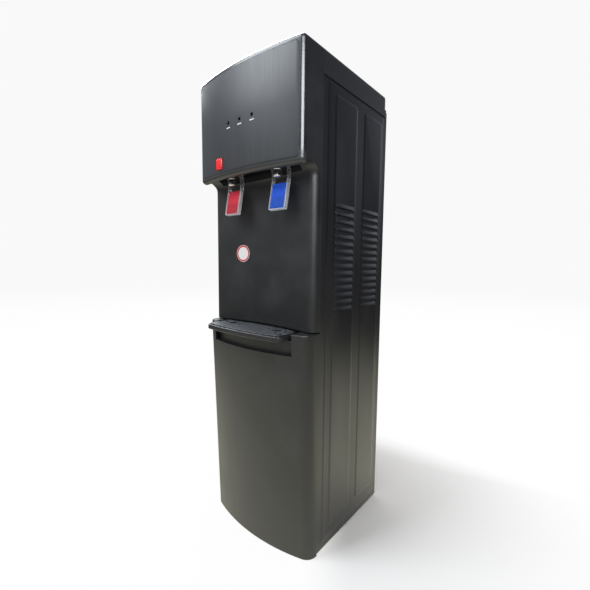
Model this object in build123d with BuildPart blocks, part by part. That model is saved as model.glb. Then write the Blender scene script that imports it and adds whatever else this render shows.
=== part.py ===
from build123d import *
import os
from math import atan, cos, sin, sqrt

os.makedirs("parts", exist_ok=True)

# Cabinet, in millimetres. X is to the right seen from the front, Y to the rear, Z up.
cabinet_width = 300.0
cabinet_height = 1004.0
side_depth = 258.0
foot_height = 8.0
skirt_gap = 1.5
moulding_wall = 3.0
sheet = 1.0
panel_inset = 0.8
touch_gap = 0.3

# Reach of what stands out of the cabinet, measured from the seam and from the rear sheet.
tray_reach = 86.0
condenser_standoff = 18.0
condenser_tube_radius = 2.4
condenser_wire = 1.6

# The seam is the plane where the front mouldings meet the side panels.
condenser_reach = condenser_standoff + condenser_tube_radius + condenser_wire
seam_y = (tray_reach - side_depth - condenser_reach) / 2
rear_y = seam_y + side_depth
half_width = cabinet_width / 2
far = 2 * cabinet_height
hair = 0.01
right_angle = 90

# Lower front panel: bowed in plan, and leaning back towards the floor.
deck_z = 474.0
deck_side = 39.0
foot_side = 20.2
panel_bow = 26.0
panel_corner_radius = 27.0
shoulder_edge_radius = 2.5

# Drip tray, its grille and the pocket that they slide into.
tray_depth = 12.5
tray_gap = 5.5
tray_half_width = 111.5
tray_bow = 8.0
tray_corner_radius = 14.0
tray_rear_radius = 41.0
tray_floor = 1.8
tray_rim = 3.4
tray_ledge = 1.6
grille_thickness = 4.0
grille_rise = 2.6
grille_wall_gap = 5.0
pocket_rear_wall = 2.0
pocket_corner_radius = 29.0
slide_gap = 0.5
drain_slot_length = 24.0
drain_slot_width = 14.0
drain_hole_radius = 3.5
drain_hole_offset = 23.0

# Finger recess under the tray.
finger_recess_height = 27.5
finger_recess_depth = 9.0

# Recess wall behind the cups.
wall_gap = 2.5
wall_set_back = 4.5
wall_corner_depth = 25.2
wall_corner_radius = 15.0
cove_radius = 22.0

# Head: bowed front with rounded corners, split into a bezel and a housing.
head_height = 217.0
head_side = 58.0
head_bow = 16.0
head_corner_radius = 10.0
head_edge_radius = 8.0
bezel_joint = 48.5
lip_height = 9.0
lip_depth = 12.0
tap_bay_half_width = 118.0
tap_bay_height = 64.0
mouth_gap = 4.0
mouth_corner_radius = 8.0

# Facia set into the bezel.
facia_half_width = 140.0
facia_top_rim = 11.5
facia_bottom_rim = 10.0
facia_set_back = 4.5
facia_thickness = 3.0
facia_corner_radius = 8.0
facia_gap = 0.5
bezel_back = 2.5

# Indicators and their board.
indicator_pitch = 34.5
indicator_drop = 112.5
indicator_radius = 3.0
lens_flange = 1.0
board_width = 124.0
board_height = 46.0
board_thickness = 1.6
board_set_back = 16.0
standoff_radius = 3.0
standoff_inset = 8.0
pipe_clearance = 0.2

# Hot-water lock button.
button_x = -64.0
button_drop = 188.2
button_width = 18.0
button_height = 22.0
button_rise = 5.0
button_gap = 0.4
button_flange = 2.0
button_stem_radius = 3.0
button_stem_length = 8.0
button_bevel = 1.6
button_spring_length = 6.0
button_spring_wall = 2.0
flange_gap = 0.75
guide_plate = 1.6
guide_half_height = 7.0
guide_clearance = 0.08

# Top cover and its bottle well.
cover_depth = 262.0
cover_skirt = 47.5
rim_height = 16.0
rim_step = 1.0
cover_corner_radius = 14.0
well_y = 120.0
well_radius = 112.0
well_floor_radius = 98.0
well_depth = 30.0
well_fall = 6.0
neck_radius = 48.0
neck_length = 8.0
well_edge_radius = 4.0
gasket_ring_drop = 6.0
gasket_width = 6.0

# Bottle seat: flange, funnel, sleeve and the probe that opens the bottle's cap.
seat_flange_radius = 64.0
seat_flange = 3.0
seat_wall = 3.0
seat_mouth_radius = 42.0
bottle_neck_radius = 29.0
seat_funnel_depth = 20.0
seat_sleeve_depth = 66.0
probe_radius = 9.0
probe_length = 52.0
probe_bore_radius = 4.5
spoke_width = 6.0
seat_collar = 6.0
probe_port_radius = 3.0
probe_port_drop = 13.0

# Side panels: raised fields and louvres.
band_start = 2.0
band_width = 11.0
band_step = 1.0
panel_flange = 15.0
panel_foot_gap = 5.0
panel_top_tuck = 11.5
field_front = 34.5
field_width = 88.5
field_pitch = 110.5
field_rear_width = 85.0
field_bottom_z = 47.0
field_top_drop = 67.0
field_step = 1.6
field_corner_radius = 9.0
field_taper = 60.0
field_shrink = 0.4
louvre_top_drop = 273.0
louvre_pitch = 15.06
louvre_count = 15
louvre_drop = 9.0
louvre_reach = 4.2
louvre_front = 44.0
louvre_length = 69.5
louvre_column_pitch = 105.0

# Base plate and feet.
base_sheet = 1.5
base_flange = 14.0
foot_radius = 15.0
foot_tip_radius = 12.0
foot_inset_x = 34.0
foot_front = 24.0
foot_rear = 26.0

# Taps, levers and their valves.
tap_spacing = 135.4
tap_y = 36.0
nozzle_drop = 227.0
nozzle_length = 18.0
nozzle_radius = 8.5
nozzle_flare_radius = 9.3
nozzle_flare = 4.0
nozzle_bore_radius = 4.5
nozzle_rib = 0.6
flute_count = 14
spigot_radius = 6.0
spigot_length = 6.0
barrel_radius = 12.5
barrel_height = 22.0
valve_seat = 8.0
chamber_radius = 9.0
shank_radius = 9.0
shank_rise = 13.0
shank_tail = 20.0
flange_radius = 15.0
flange_thickness = 3.0
wall_boss_radius = 16.0
wall_boss_front = 15.0
wall_boss_rear = 2.0
tail_radius = 5.0
tail_bore_radius = 3.5
tail_length = 16.0
nut_flats = 26.0
nut_thickness = 7.0
bonnet_thickness = 6.0
ear_thickness = 3.0
ear_gap = 19.0
pivot_reach = 9.0
pivot_rise = 6.0
pin_radius = 2.0
pin_clearance = 0.06
hub_radius = 4.0
stem_radius = 3.0
stem_clearance = 0.08
stem_head_radius = 5.0
stem_head = 3.0
seal_radius = 8.0
seal_thickness = 4.5
fork_thickness = 3.2
fork_play = 0.8
arm_thickness = 3.0
arm_width = 8.0
arm_clearance = 0.6
arm_bend_y = 25.0
arm_bend_drop = 37.0
arm_bend_radius = 18.0
bar_reach = 9.0
bar_depth = 4.0
bar_height = 8.0
hub_side_gap = 0.6
paddle_width = 43.0
paddle_height = 55.0
paddle_depth = 8.0
paddle_wall = 2.0
paddle_top_drop = 7.0
paddle_top_y = 30.0
paddle_lean = 10.0
paddle_corner_radius = 3.0
insert_border = 2.5
insert_thickness = 1.5

# Round label on the recess wall.
label_radius = 19.0
label_thickness = 0.4
label_x = -64.0
label_drop = 373.0

# Cold tank, its jacket and what is in it.
tank_radius = 72.0
tank_wall = 1.2
tank_bottom_drop = 288.0
tank_rim = 4.0
gasket_thickness = 4.0
coil_tube = 6.0
coil_bottom = 20.0
coil_height = 110.0
jacket_radius = 98.0
jacket_base = 30.0
jacket_top_gap = 10.0
baffle_rise = 84.0
baffle_thickness = 2.0
transfer_radius = 6.0
transfer_wall = 1.5
transfer_drop = 60.0
shelf_front = 18.0
shelf_fold = 10.0
hanger_radius = 4.0
hanger_count = 3
baffle_port_radius = 6.0
baffle_port_ring = 54.0
baffle_ports = 6

# Hot tank and what is on it.
hot_radius = 42.0
hot_height = 120.0
hot_jacket = 10.0
hot_jacket_gap = 8.0
heater_height = 24.0
heater_rise = 20.0
heater_thickness = 4.0
thermostat_radius = 9.0
thermostat_length = 7.0
thermostat_drop = 18.0
thermostat_pitch = 27.0

# Hoses.
hose_bore_radius = 5.0
hose_wall = 2.5
hose_bend = 28.0
hose_tight_bend = 14.0
hose_low_drop = 54.5
hot_outlet_x = -92.0
hot_outlet_drop = 16.5
stub_length = 16.0
stub_wall = 1.5
cold_stub_x = 52.0
cold_stub_y = 82.0
cold_drain_x = -52.0
cold_drain_y = 160.0
hot_drain_x = 18.0
hot_drain_y = 138.0
drain_z = 228.0
outlet_radius = 9.0
outlet_length = 16.0
outlet_flange_radius = 14.0
outlet_flange = 2.0
cap_radius = 12.0
cap_wall = 2.5
cap_clearance = 0.3

# Compressor bay.
compressor_x = -18.0
compressor_y = 128.0
compressor_radius = 58.0
compressor_height = 150.0
grommet_radius = 9.0
grommet_height = 14.0
mount_plate = 2.5
mount_length = 200.0
mount_depth = 96.0
mount_hole_x = 84.0
mount_hole_y = 36.0
compressor_crown = 34.0
compressor_weld = 2.0
terminal_width = 40.0
terminal_reach = 12.0
drier_radius = 9.0
drier_length = 90.0
drier_x = 104.0
drier_y = 205.0
drier_rise = 25.0
copper_radius = 3.2
capillary_radius = 1.5
suction_x = 76.0
suction_y = 165.0
suction_rise = 24.0
capillary_x = 70.0
capillary_y = 172.0
copper_bend = 14.0
discharge_x = -122.0
discharge_rise = 14.0
port_offset = 30.0
port_depth = 6.0

# Rear panel, condenser, switches and gland.
rear_panel_bottom_z = 200.0
condenser_bottom_z = 270.0
condenser_top_drop = 214.0
condenser_passes = 11
condenser_half_width = 104.0
wire_pitch = 10.5
wire_count = 20
bracket_width = 18.0
bracket_x = 88.0
switch_x = 96.0
switch_drop = 136.0
switch_pitch = 26.0
rocker_width = 13.0
rocker_height = 20.0
rocker_depth = 9.0
rocker_clearance = 0.6
rocker_tilt = 8.0
rocker_pin_radius = 1.5
rocker_pin_length = 1.5
switch_frame_depth = 3.0
switch_border = 4.0
switch_body_depth = 11.0
gland_x = -104.0
gland_z = 228.0
gland_radius = 10.0
gland_bore_radius = 4.0
screw_radius = 4.0
screw_head = 2.0
screw_edge = 8.0
screw_low_z = 250.0
screw_top_drop = 76.0
screw_rows = 4


def finish(piece, label):
    """Name a finished piece and write it."""
    piece.part.label = label
    export_step(piece.part, f"parts/{label}.step")


def block(x, y, z, mode=Mode.ADD):
    """Box between a low and a high value on each axis."""
    middle = ((x[0] + x[1]) / 2, (y[0] + y[1]) / 2, (z[0] + z[1]) / 2)
    with Locations(middle):
        Box(x[1] - x[0], y[1] - y[0], z[1] - z[0], mode=mode)


def rod_x(y, z, x, radius, mode=Mode.ADD):
    """Cylinder along X between the two values of x."""
    with Locations(Location(((x[0] + x[1]) / 2, y, z), (0, right_angle, 0))):
        Cylinder(radius, x[1] - x[0], mode=mode)


def rod_y(x, z, y, radius, mode=Mode.ADD):
    """Cylinder along Y between the two values of y."""
    with Locations(Location((x, (y[0] + y[1]) / 2, z), (right_angle, 0, 0))):
        Cylinder(radius, y[1] - y[0], mode=mode)


def rod_z(x, y, z, radius, mode=Mode.ADD):
    """Cylinder along Z between the two values of z."""
    with Locations((x, y, (z[0] + z[1]) / 2)):
        Cylinder(radius, z[1] - z[0], mode=mode)


def bowed_plan(half, side, bow, corner, inset=0.0, rear=0.0):
    """Plan of a front: straight sides from the seam, rounded corners and a bow towards -Y."""
    edge = half - inset
    corner_y = seam_y - side + inset
    with BuildSketch() as plan:
        with BuildLine():
            Line((edge, seam_y + rear), (edge, corner_y))
            ThreePointArc((edge, corner_y), (0, corner_y - bow), (-edge, corner_y))
            Line((-edge, corner_y), (-edge, seam_y + rear))
            Line((-edge, seam_y + rear), (edge, seam_y + rear))
        make_face()
        corners = plan.vertices().filter_by_position(Axis.Y, corner_y - hair, corner_y + hair)
        fillet(corners, max(corner - inset, 1))
    return plan.sketch


def bow_y(x, half, side, bow):
    """Y of a bowed front at a distance x from its middle."""
    radius = (half**2 + bow**2) / (2 * bow)
    return seam_y - side - bow + radius - sqrt(radius**2 - x**2)


# Lower front panel. Its plan slides back as it comes down, so it leans.
tray_opening = tray_half_width + tray_gap
shelf_z = deck_z - tray_depth - slide_gap
shelf_under_z = shelf_z - moulding_wall
finger_bottom_z = shelf_under_z - finger_recess_height
tray_back_y = seam_y - pocket_rear_wall
tray_front_y = seam_y - tray_reach


def tray_plan(margin, front_y=tray_front_y, rear_y=tray_back_y - slide_gap, rear=tray_rear_radius):
    """Plan of the tray: gently bowed front, straight sides and well rounded rear corners."""
    edge = tray_half_width + margin
    corner_y = front_y + tray_bow - margin
    with BuildSketch() as plan:
        with BuildLine():
            Line((edge, rear_y), (edge, corner_y))
            ThreePointArc((edge, corner_y), (0, corner_y - tray_bow), (-edge, corner_y))
            Line((-edge, corner_y), (-edge, rear_y))
            Line((-edge, rear_y), (edge, rear_y))
        make_face()
        fillet(plan.vertices().group_by(Axis.Y)[0], max(tray_corner_radius + margin, 1))
        fillet(plan.vertices().group_by(Axis.Y)[-1], max(rear + margin, 1))
    return plan.sketch


def leaning_block(bottom, top, inset, rear=0.0):
    """Solid between two heights of the leaning front, set in from its face."""
    with BuildPart() as solid:
        for z in (bottom, top):
            side = foot_side + (deck_side - foot_side) * z / deck_z
            with BuildSketch(Plane.XY.offset(z)):
                add(bowed_plan(half_width, side, panel_bow, panel_corner_radius, inset, rear))
        loft(ruled=True)
    return solid.part


with BuildPart() as panel_cavity:
    add(leaning_block(0, deck_z - moulding_wall, moulding_wall, moulding_wall))
    pocket_side = tray_opening + moulding_wall
    block(
        (-pocket_side, pocket_side), (-far, far), (finger_bottom_z - moulding_wall, deck_z), Mode.SUBTRACT
    )
    add(leaning_block(0, shelf_under_z, finger_recess_depth + moulding_wall, moulding_wall))

with BuildPart() as finger_recess:
    block((-tray_opening, tray_opening), (seam_y - far, seam_y), (finger_bottom_z, shelf_under_z))
    add(leaning_block(0, deck_z, finger_recess_depth, moulding_wall), mode=Mode.SUBTRACT)

with BuildPart() as lower_front_panel:
    add(leaning_block(skirt_gap, deck_z, 0))
    shoulders = lower_front_panel.faces().sort_by(Axis.Z)[-1].edges()
    fillet(shoulders.filter_by(lambda edge: edge.center().Y < seam_y - 1), shoulder_edge_radius)
    add(panel_cavity.part, mode=Mode.SUBTRACT)
    with BuildSketch(Plane.XY.offset(shelf_z)):
        pocket_front_y = tray_front_y - tray_rear_radius
        add(tray_plan(tray_gap, pocket_front_y, tray_back_y, pocket_corner_radius - tray_gap))
    extrude(amount=far, mode=Mode.SUBTRACT)
    add(finger_recess.part, mode=Mode.SUBTRACT)
finish(lower_front_panel, "lower_front_panel")

# Drip tray: a shallow bowl with a ledge for its grille.
tray_bottom_z = shelf_z + slide_gap
tray_top_z = deck_z - grille_rise
ledge_z = tray_top_z - grille_thickness + grille_rise - touch_gap
with BuildPart() as drip_tray:
    with BuildSketch(Plane.XY.offset(tray_bottom_z)):
        add(tray_plan(0))
    extrude(amount=tray_top_z - tray_bottom_z)
    fillet(drip_tray.faces().sort_by(Axis.Z)[-1].edges(), tray_rim / 2)
    chamfer(drip_tray.faces().sort_by(Axis.Z)[0].edges(), tray_rim / 3)
    with BuildSketch(Plane.XY.offset(tray_bottom_z + tray_floor)):
        add(tray_plan(-tray_rim - tray_ledge))
    extrude(amount=far, mode=Mode.SUBTRACT)
    with BuildSketch(Plane.XY.offset(ledge_z)):
        add(tray_plan(-tray_rim))
    extrude(amount=far, mode=Mode.SUBTRACT)
finish(drip_tray, "drip_tray")


def wall_plan(inset=0.0, rear=0.0):
    """Plan of the recess wall's front: rounded corners and a concave middle."""
    bow = wall_set_back - wall_corner_depth
    return bowed_plan(half_width, wall_corner_depth, bow, wall_corner_radius, inset, rear)


# Grille: a plate that clears the wall, with an oval drain and two round ones under each tap.
tap_places = [(-tap_spacing / 2, seam_y - tap_y), (tap_spacing / 2, seam_y - tap_y)]
with BuildPart() as drip_grille:
    with BuildSketch(Plane.XY.offset(ledge_z + touch_gap)):
        add(tray_plan(-tray_rim - touch_gap))
        add(wall_plan(-grille_wall_gap, 1), mode=Mode.SUBTRACT)
    extrude(amount=grille_thickness)
    chamfer(drip_grille.faces().sort_by(Axis.Z)[-1].edges(), grille_thickness / 3)
    with BuildSketch(Plane.XY.offset(ledge_z)):
        with Locations(tap_places):
            SlotOverall(drain_slot_length, drain_slot_width)
            with Locations((-drain_hole_offset, 0), (drain_hole_offset, 0)):
                Circle(drain_hole_radius)
    extrude(amount=far, mode=Mode.SUBTRACT)
finish(drip_grille, "drip_grille")

# Upper front housing: the cheeks and top of the head, and the recess wall with its cove.
head_bottom_z = cabinet_height - head_height
ceiling_z = head_bottom_z + lip_height
bay_floor_z = ceiling_z + moulding_wall
bay_top_z = head_bottom_z + tap_bay_height
wall_bottom_z = deck_z + wall_gap
joint_y = seam_y - bezel_joint
tap_axis_y = seam_y - tap_y
nozzle_tip_z = cabinet_height - nozzle_drop
barrel_bottom_z = nozzle_tip_z + nozzle_length
shank_z = barrel_bottom_z + shank_rise
boss_front_y = seam_y - wall_boss_front
boss_rear_y = seam_y - wall_boss_rear
cheek_in = half_width - moulding_wall
bay_out = tap_bay_half_width + moulding_wall
top_in_z = cabinet_height - moulding_wall


def joint_strip(half):
    """Plan between the joint and the seam, as wide as twice half."""
    with BuildSketch() as strip:
        with Locations((0, (joint_y + seam_y) / 2)):
            Rectangle(2 * half, bezel_joint)
    return strip.sketch


with BuildPart() as housing_envelope:
    block((-half_width, half_width), (joint_y, seam_y), (wall_bottom_z, cabinet_height))
    fillet(housing_envelope.edges().filter_by(Axis.Y).group_by(Axis.Z)[-1], head_edge_radius)

with BuildPart() as housing_hollow:
    block((-cheek_in, cheek_in), (joint_y - 1, seam_y + 1), (bay_floor_z, top_in_z))
    fillet(
        housing_hollow.edges().filter_by(Axis.Y).group_by(Axis.Z)[-1], head_edge_radius - moulding_wall
    )

with BuildPart() as housing_bay:
    with BuildSketch(Plane.XY.offset(bay_floor_z)):
        add(joint_strip(bay_out))
        add(wall_plan(moulding_wall, moulding_wall), mode=Mode.SUBTRACT)
    extrude(amount=bay_top_z + moulding_wall - bay_floor_z)
    with BuildSketch(Plane.XY.offset(bay_floor_z)):
        add(joint_strip(tap_bay_half_width))
        add(wall_plan(), mode=Mode.SUBTRACT)
    extrude(amount=bay_top_z - bay_floor_z, mode=Mode.SUBTRACT)

with BuildPart() as upper_front_housing:
    with BuildSketch(Plane.XY.offset(wall_bottom_z)):
        add(wall_plan())
    extrude(amount=ceiling_z - wall_bottom_z)
    overhang = 2 * cove_radius
    block(
        (-half_width - overhang, half_width + overhang), (joint_y - overhang, seam_y),
        (ceiling_z, cabinet_height)
    )
    roots = upper_front_housing.edges().filter_by_position(Axis.Z, ceiling_z - hair, ceiling_z + hair)
    roots = roots.filter_by_position(Axis.Y, joint_y, seam_y - 1)
    fillet(roots.filter_by_position(Axis.X, -half_width - 1, half_width + 1), cove_radius)
    add(housing_envelope.part, mode=Mode.INTERSECT)
    with BuildSketch(Plane.XY.offset(wall_bottom_z)):
        add(wall_plan(moulding_wall, moulding_wall))
    extrude(amount=bay_floor_z - wall_bottom_z, mode=Mode.SUBTRACT)
    add(housing_hollow.part, mode=Mode.SUBTRACT)
    add(housing_bay.part)
    with BuildSketch(Plane.XY.offset(ceiling_z - cove_radius)):
        add(joint_strip(tap_bay_half_width))
        add(wall_plan(-mouth_gap), mode=Mode.SUBTRACT)
    extrude(amount=bay_floor_z - ceiling_z + cove_radius, mode=Mode.SUBTRACT)
    for x, y in tap_places:
        rod_y(x, shank_z, (boss_front_y, boss_rear_y), wall_boss_radius)
    for x, y in tap_places:
        rod_y(x, shank_z, (joint_y, seam_y), shank_radius + touch_gap, Mode.SUBTRACT)
finish(upper_front_housing, "upper_front_housing")

# Head bezel: the bowed front with a round nose below and a pocket for the facia.
pocket_inset = facia_set_back + facia_thickness
hollow_inset = pocket_inset + bezel_back
facia_top_z = cabinet_height - facia_top_rim
facia_bottom_z = head_bottom_z + facia_bottom_rim
facia_height = facia_top_z - facia_bottom_z
facia_z = (facia_top_z + facia_bottom_z) / 2
indicator_z = cabinet_height - indicator_drop
button_z = cabinet_height - button_drop


def head_plan(inset=0.0):
    """Plan of the head's front, back to the seam."""
    return bowed_plan(half_width, head_side, head_bow, head_corner_radius, inset)


def facia_prism(gap):
    """Rounded block as wide and as tall as the facia, through the head's front."""
    with BuildPart() as prism:
        with BuildSketch(Plane.XZ.offset(-joint_y)):
            with Locations((0, facia_z)):
                width = 2 * (facia_half_width + gap)
                RectangleRounded(width, facia_height + 2 * gap, facia_corner_radius + gap)
        extrude(amount=head_side + head_bow)
    return prism.part


def head_solid(bottom, top, inset):
    """Upright prism between two heights on the plan of the head."""
    with BuildPart() as solid:
        with BuildSketch(Plane.XY.offset(bottom)):
            add(head_plan(inset))
        extrude(amount=top - bottom)
    return solid.part


def facia_y(x, inset=facia_set_back):
    """Y of the facia's front, or of a face further in, at a distance x from its middle."""
    return bow_y(x, half_width - inset, head_side - inset, head_bow)


with BuildPart() as facia_pocket:
    add(facia_prism(facia_gap))
    add(head_solid(0, far, pocket_inset), mode=Mode.SUBTRACT)

with BuildPart() as bezel_hollow:
    with BuildSketch(Plane.XY.offset(bay_floor_z)):
        inner_radius = head_corner_radius - moulding_wall
        add(bowed_plan(cheek_in, head_side - hollow_inset, head_bow, inner_radius))
    extrude(amount=top_in_z - bay_floor_z)
    top_edges = bezel_hollow.edges().group_by(Axis.Z)[-1]
    fillet(top_edges.filter_by_position(Axis.Y, -far, seam_y - 1), head_edge_radius - moulding_wall)

with BuildPart() as bezel_bay:
    block((-bay_out, bay_out), (joint_y - head_side, joint_y), (bay_floor_z, bay_top_z + moulding_wall))
    block((-tap_bay_half_width, tap_bay_half_width), (joint_y - head_side, joint_y),
          (bay_floor_z, bay_top_z), Mode.SUBTRACT)
    add(bezel_hollow.part, mode=Mode.INTERSECT)

button_y = facia_y(button_x)
flange_x = button_width / 2 + button_flange
flange_z = button_height / 2 + button_flange
button_rear_y = facia_y(abs(button_x) + flange_x, pocket_inset) + touch_gap + button_flange
guide_y = button_rear_y + button_spring_length
guide_half = button_width / 2 + button_flange + flange_gap
guide_half_z = button_height / 2 + button_flange + flange_gap
board_y = seam_y - head_side - head_bow + board_set_back
board_bottom_z = indicator_z - board_height / 2
board_top_z = indicator_z + board_height / 2
standoff_x = board_width / 2 - standoff_inset
with BuildPart() as head_bezel:
    add(head_solid(head_bottom_z, cabinet_height, 0))
    upper = head_bezel.edges().group_by(Axis.Z)[-1]
    fillet(upper.filter_by_position(Axis.Y, -far, seam_y - 1), head_edge_radius)
    lower = head_bezel.edges().group_by(Axis.Z)[0]
    fillet(lower.filter_by_position(Axis.Y, -far, seam_y - 1), lip_height)
    block((-far, far), (joint_y, seam_y + 1), (0, far), Mode.SUBTRACT)
    add(facia_pocket.part, mode=Mode.SUBTRACT)
    with BuildSketch(Plane.XY.offset(head_bottom_z - 1)):
        add(bowed_plan(half_width + 1, head_side - lip_depth, head_bow, 1))
    extrude(amount=lip_height + 1, mode=Mode.SUBTRACT)
    add(bezel_hollow.part, mode=Mode.SUBTRACT)
    add(bezel_bay.part)
    with BuildSketch(Plane.XY.offset(head_bottom_z)):
        mouth_side = head_side - lip_depth
        add(bowed_plan(tap_bay_half_width, mouth_side + 1, head_bow - mouth_gap, mouth_corner_radius))
    extrude(amount=bay_floor_z - head_bottom_z, mode=Mode.SUBTRACT)
    block((-indicator_pitch - standoff_inset, indicator_pitch + standoff_inset), (-far, joint_y),
          (indicator_z - standoff_inset, indicator_z + standoff_inset), Mode.SUBTRACT)
    block((button_x - guide_half, button_x + guide_half), (-far, joint_y),
          (button_z - guide_half_z, button_z + guide_half_z), Mode.SUBTRACT)
    for x in (button_x - guide_half - bezel_back, button_x + guide_half):
        leg_y = max(facia_y(x, pocket_inset), facia_y(x + bezel_back, pocket_inset)) + touch_gap
        block(
            (x, x + bezel_back), (leg_y, guide_y + guide_plate),
            (button_z - guide_half_height, button_z + guide_half_height)
        )
    block((button_x - guide_half, button_x + guide_half), (guide_y, guide_y + guide_plate),
          (button_z - guide_half_height, button_z + guide_half_height))
    rod_y(button_x, button_z, (guide_y - 1, joint_y), button_stem_radius + guide_clearance, Mode.SUBTRACT)
    for x in (-standoff_x, standoff_x):
        for z in (board_bottom_z + standoff_inset, board_top_z - standoff_inset):
            rod_y(x, z, (facia_y(x, pocket_inset) + bezel_back / 2, board_y), standoff_radius)
finish(head_bezel, "head_bezel")

# Control facia: a thin bowed plate with rounded corners.
with BuildPart() as control_facia:
    add(facia_prism(0))
    add(head_solid(0, far, facia_set_back), mode=Mode.INTERSECT)
    add(head_solid(0, far, pocket_inset), mode=Mode.SUBTRACT)
    for x in (-indicator_pitch, 0, indicator_pitch):
        rod_y(x, indicator_z, (seam_y - far, seam_y), indicator_radius + pipe_clearance, Mode.SUBTRACT)
    with BuildSketch(Plane.XZ):
        with Locations((button_x, button_z)):
            RectangleRounded(button_width + 2 * button_gap, button_height + 2 * button_gap, button_bevel)
    extrude(amount=far, mode=Mode.SUBTRACT)
finish(control_facia, "control_facia")

# Indicators: three flanged light pipes from the facia back to their board.
with BuildPart() as indicator_lenses:
    for x in (-indicator_pitch, 0, indicator_pitch):
        flange_y = facia_y(abs(x) + indicator_radius + lens_flange, pocket_inset) + touch_gap
        rod_y(x, indicator_z, (facia_y(x), board_y), indicator_radius)
        rod_y(x, indicator_z, (flange_y, flange_y + lens_flange), indicator_radius + lens_flange)
finish(indicator_lenses, "indicator_lenses")

with BuildPart() as indicator_board:
    block(
        (-board_width / 2, board_width / 2), (board_y, board_y + board_thickness),
        (board_bottom_z, board_top_z)
    )
finish(indicator_board, "indicator_board")

# Hot-water lock button: bevelled cap, flange behind the facia and a guided stem with its spring.
with BuildPart() as hot_lock_button:
    with BuildSketch(Plane.XZ.offset(-button_rear_y + button_flange)):
        with Locations((button_x, button_z)):
            RectangleRounded(button_width, button_height, button_bevel)
    extrude(amount=button_rear_y - button_flange - button_y + button_rise)
    chamfer(hot_lock_button.faces().sort_by(Axis.Y)[0].edges(), button_bevel)
    block((button_x - flange_x, button_x + flange_x), (button_rear_y - button_flange, button_rear_y),
          (button_z - flange_z, button_z + flange_z))
    rod_y(button_x, button_z, (button_rear_y, button_rear_y + button_stem_length), button_stem_radius)
finish(hot_lock_button, "hot_lock_button")

with BuildPart() as lock_button_spring:
    ends = (button_rear_y, guide_y)
    rod_y(button_x, button_z, ends, button_stem_radius + touch_gap + button_spring_wall)
    rod_y(button_x, button_z, ends, button_stem_radius + touch_gap, Mode.SUBTRACT)
finish(lock_button_spring, "lock_button_spring")

# Hot tap: a valve barrel with a threaded shank through the wall and an elbow behind it.
hot_x = -tap_spacing / 2
barrel_top_z = barrel_bottom_z + barrel_height
chamber_z = barrel_bottom_z + valve_seat
shank_end_y = seam_y + shank_tail
tail_bottom_z = shank_z - shank_radius - tail_length
with BuildPart() as hot_tap_body:
    rod_z(hot_x, tap_axis_y, (barrel_bottom_z, barrel_top_z), barrel_radius)
    fillet(hot_tap_body.edges().group_by(Axis.Z)[0], valve_seat / 4)
    rod_z(hot_x, tap_axis_y, (barrel_bottom_z - spigot_length, chamber_z), spigot_radius)
    rod_y(hot_x, shank_z, (tap_axis_y, shank_end_y), shank_radius)
    rod_y(hot_x, shank_z, (boss_front_y - flange_thickness, boss_front_y), flange_radius)
    rod_z(hot_x, shank_end_y - shank_radius, (tail_bottom_z, shank_z), tail_radius)
    rod_z(hot_x, tap_axis_y, (chamber_z, barrel_top_z), chamber_radius, Mode.SUBTRACT)
    rod_z(
        hot_x, tap_axis_y, (barrel_bottom_z - spigot_length, chamber_z), nozzle_bore_radius, Mode.SUBTRACT
    )
    rod_y(hot_x, shank_z, (tap_axis_y, shank_end_y - tail_radius), tail_bore_radius, Mode.SUBTRACT)
    rod_z(hot_x, shank_end_y - shank_radius, (tail_bottom_z, shank_z), tail_bore_radius, Mode.SUBTRACT)
finish(hot_tap_body, "hot_tap_body")

with BuildPart() as cold_tap_body:
    mirror(hot_tap_body.part, about=Plane.YZ)
finish(cold_tap_body, "cold_tap_body")

# Nozzles: fluted, flared at the tip, pushed over the spigots.
with BuildPart() as tap_nozzles:
    for x, y in tap_places:
        rod_z(x, y, (nozzle_tip_z, barrel_bottom_z), nozzle_radius)
        with Locations((x, y, nozzle_tip_z + nozzle_flare / 2)):
            Cone(nozzle_flare_radius, nozzle_radius, nozzle_flare)
        with Locations((x, y, (nozzle_tip_z + nozzle_flare + barrel_bottom_z) / 2)):
            with PolarLocations(nozzle_radius, flute_count):
                Cylinder(nozzle_rib, nozzle_length - nozzle_flare, mode=Mode.SUBTRACT)
        rod_z(x, y, (nozzle_tip_z, barrel_bottom_z), nozzle_bore_radius, Mode.SUBTRACT)
        rod_z(x, y, (barrel_bottom_z - spigot_length, barrel_bottom_z), spigot_radius, Mode.SUBTRACT)
finish(tap_nozzles, "tap_nozzles")

# Bonnets with the ears that carry each lever's pin.
pivot_y = tap_axis_y - pivot_reach
bonnet_z = barrel_top_z + bonnet_thickness
pivot_z = bonnet_z + pivot_rise
ear_in = ear_gap / 2
ear_out = ear_in + ear_thickness
with BuildPart() as tap_bonnets:
    for x, y in tap_places:
        rod_z(x, y, (barrel_top_z, bonnet_z), barrel_radius)
        block((x - ear_out, x + ear_out), (pivot_y - hub_radius, y), (barrel_top_z, pivot_z))
        rod_x(pivot_y, pivot_z, (x - ear_out, x + ear_out), hub_radius)
        block(
            (x - ear_in, x + ear_in), (pivot_y - barrel_radius, y + barrel_radius),
            (bonnet_z, far), Mode.SUBTRACT
        )
        block((x - ear_in, x + ear_in), (pivot_y - barrel_radius, pivot_y + hub_radius + ear_thickness),
              (barrel_top_z, far), Mode.SUBTRACT)
        rod_x(pivot_y, pivot_z, (x - ear_out, x + ear_out), pin_radius, Mode.SUBTRACT)
        rod_z(x, y, (barrel_top_z, bonnet_z), stem_radius + stem_clearance, Mode.SUBTRACT)
finish(tap_bonnets, "tap_bonnets")

with BuildPart() as lever_pivot_pins:
    for x, y in tap_places:
        rod_x(pivot_y, pivot_z, (x - ear_out, x + ear_out), pin_radius)
finish(lever_pivot_pins, "lever_pivot_pins")

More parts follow.
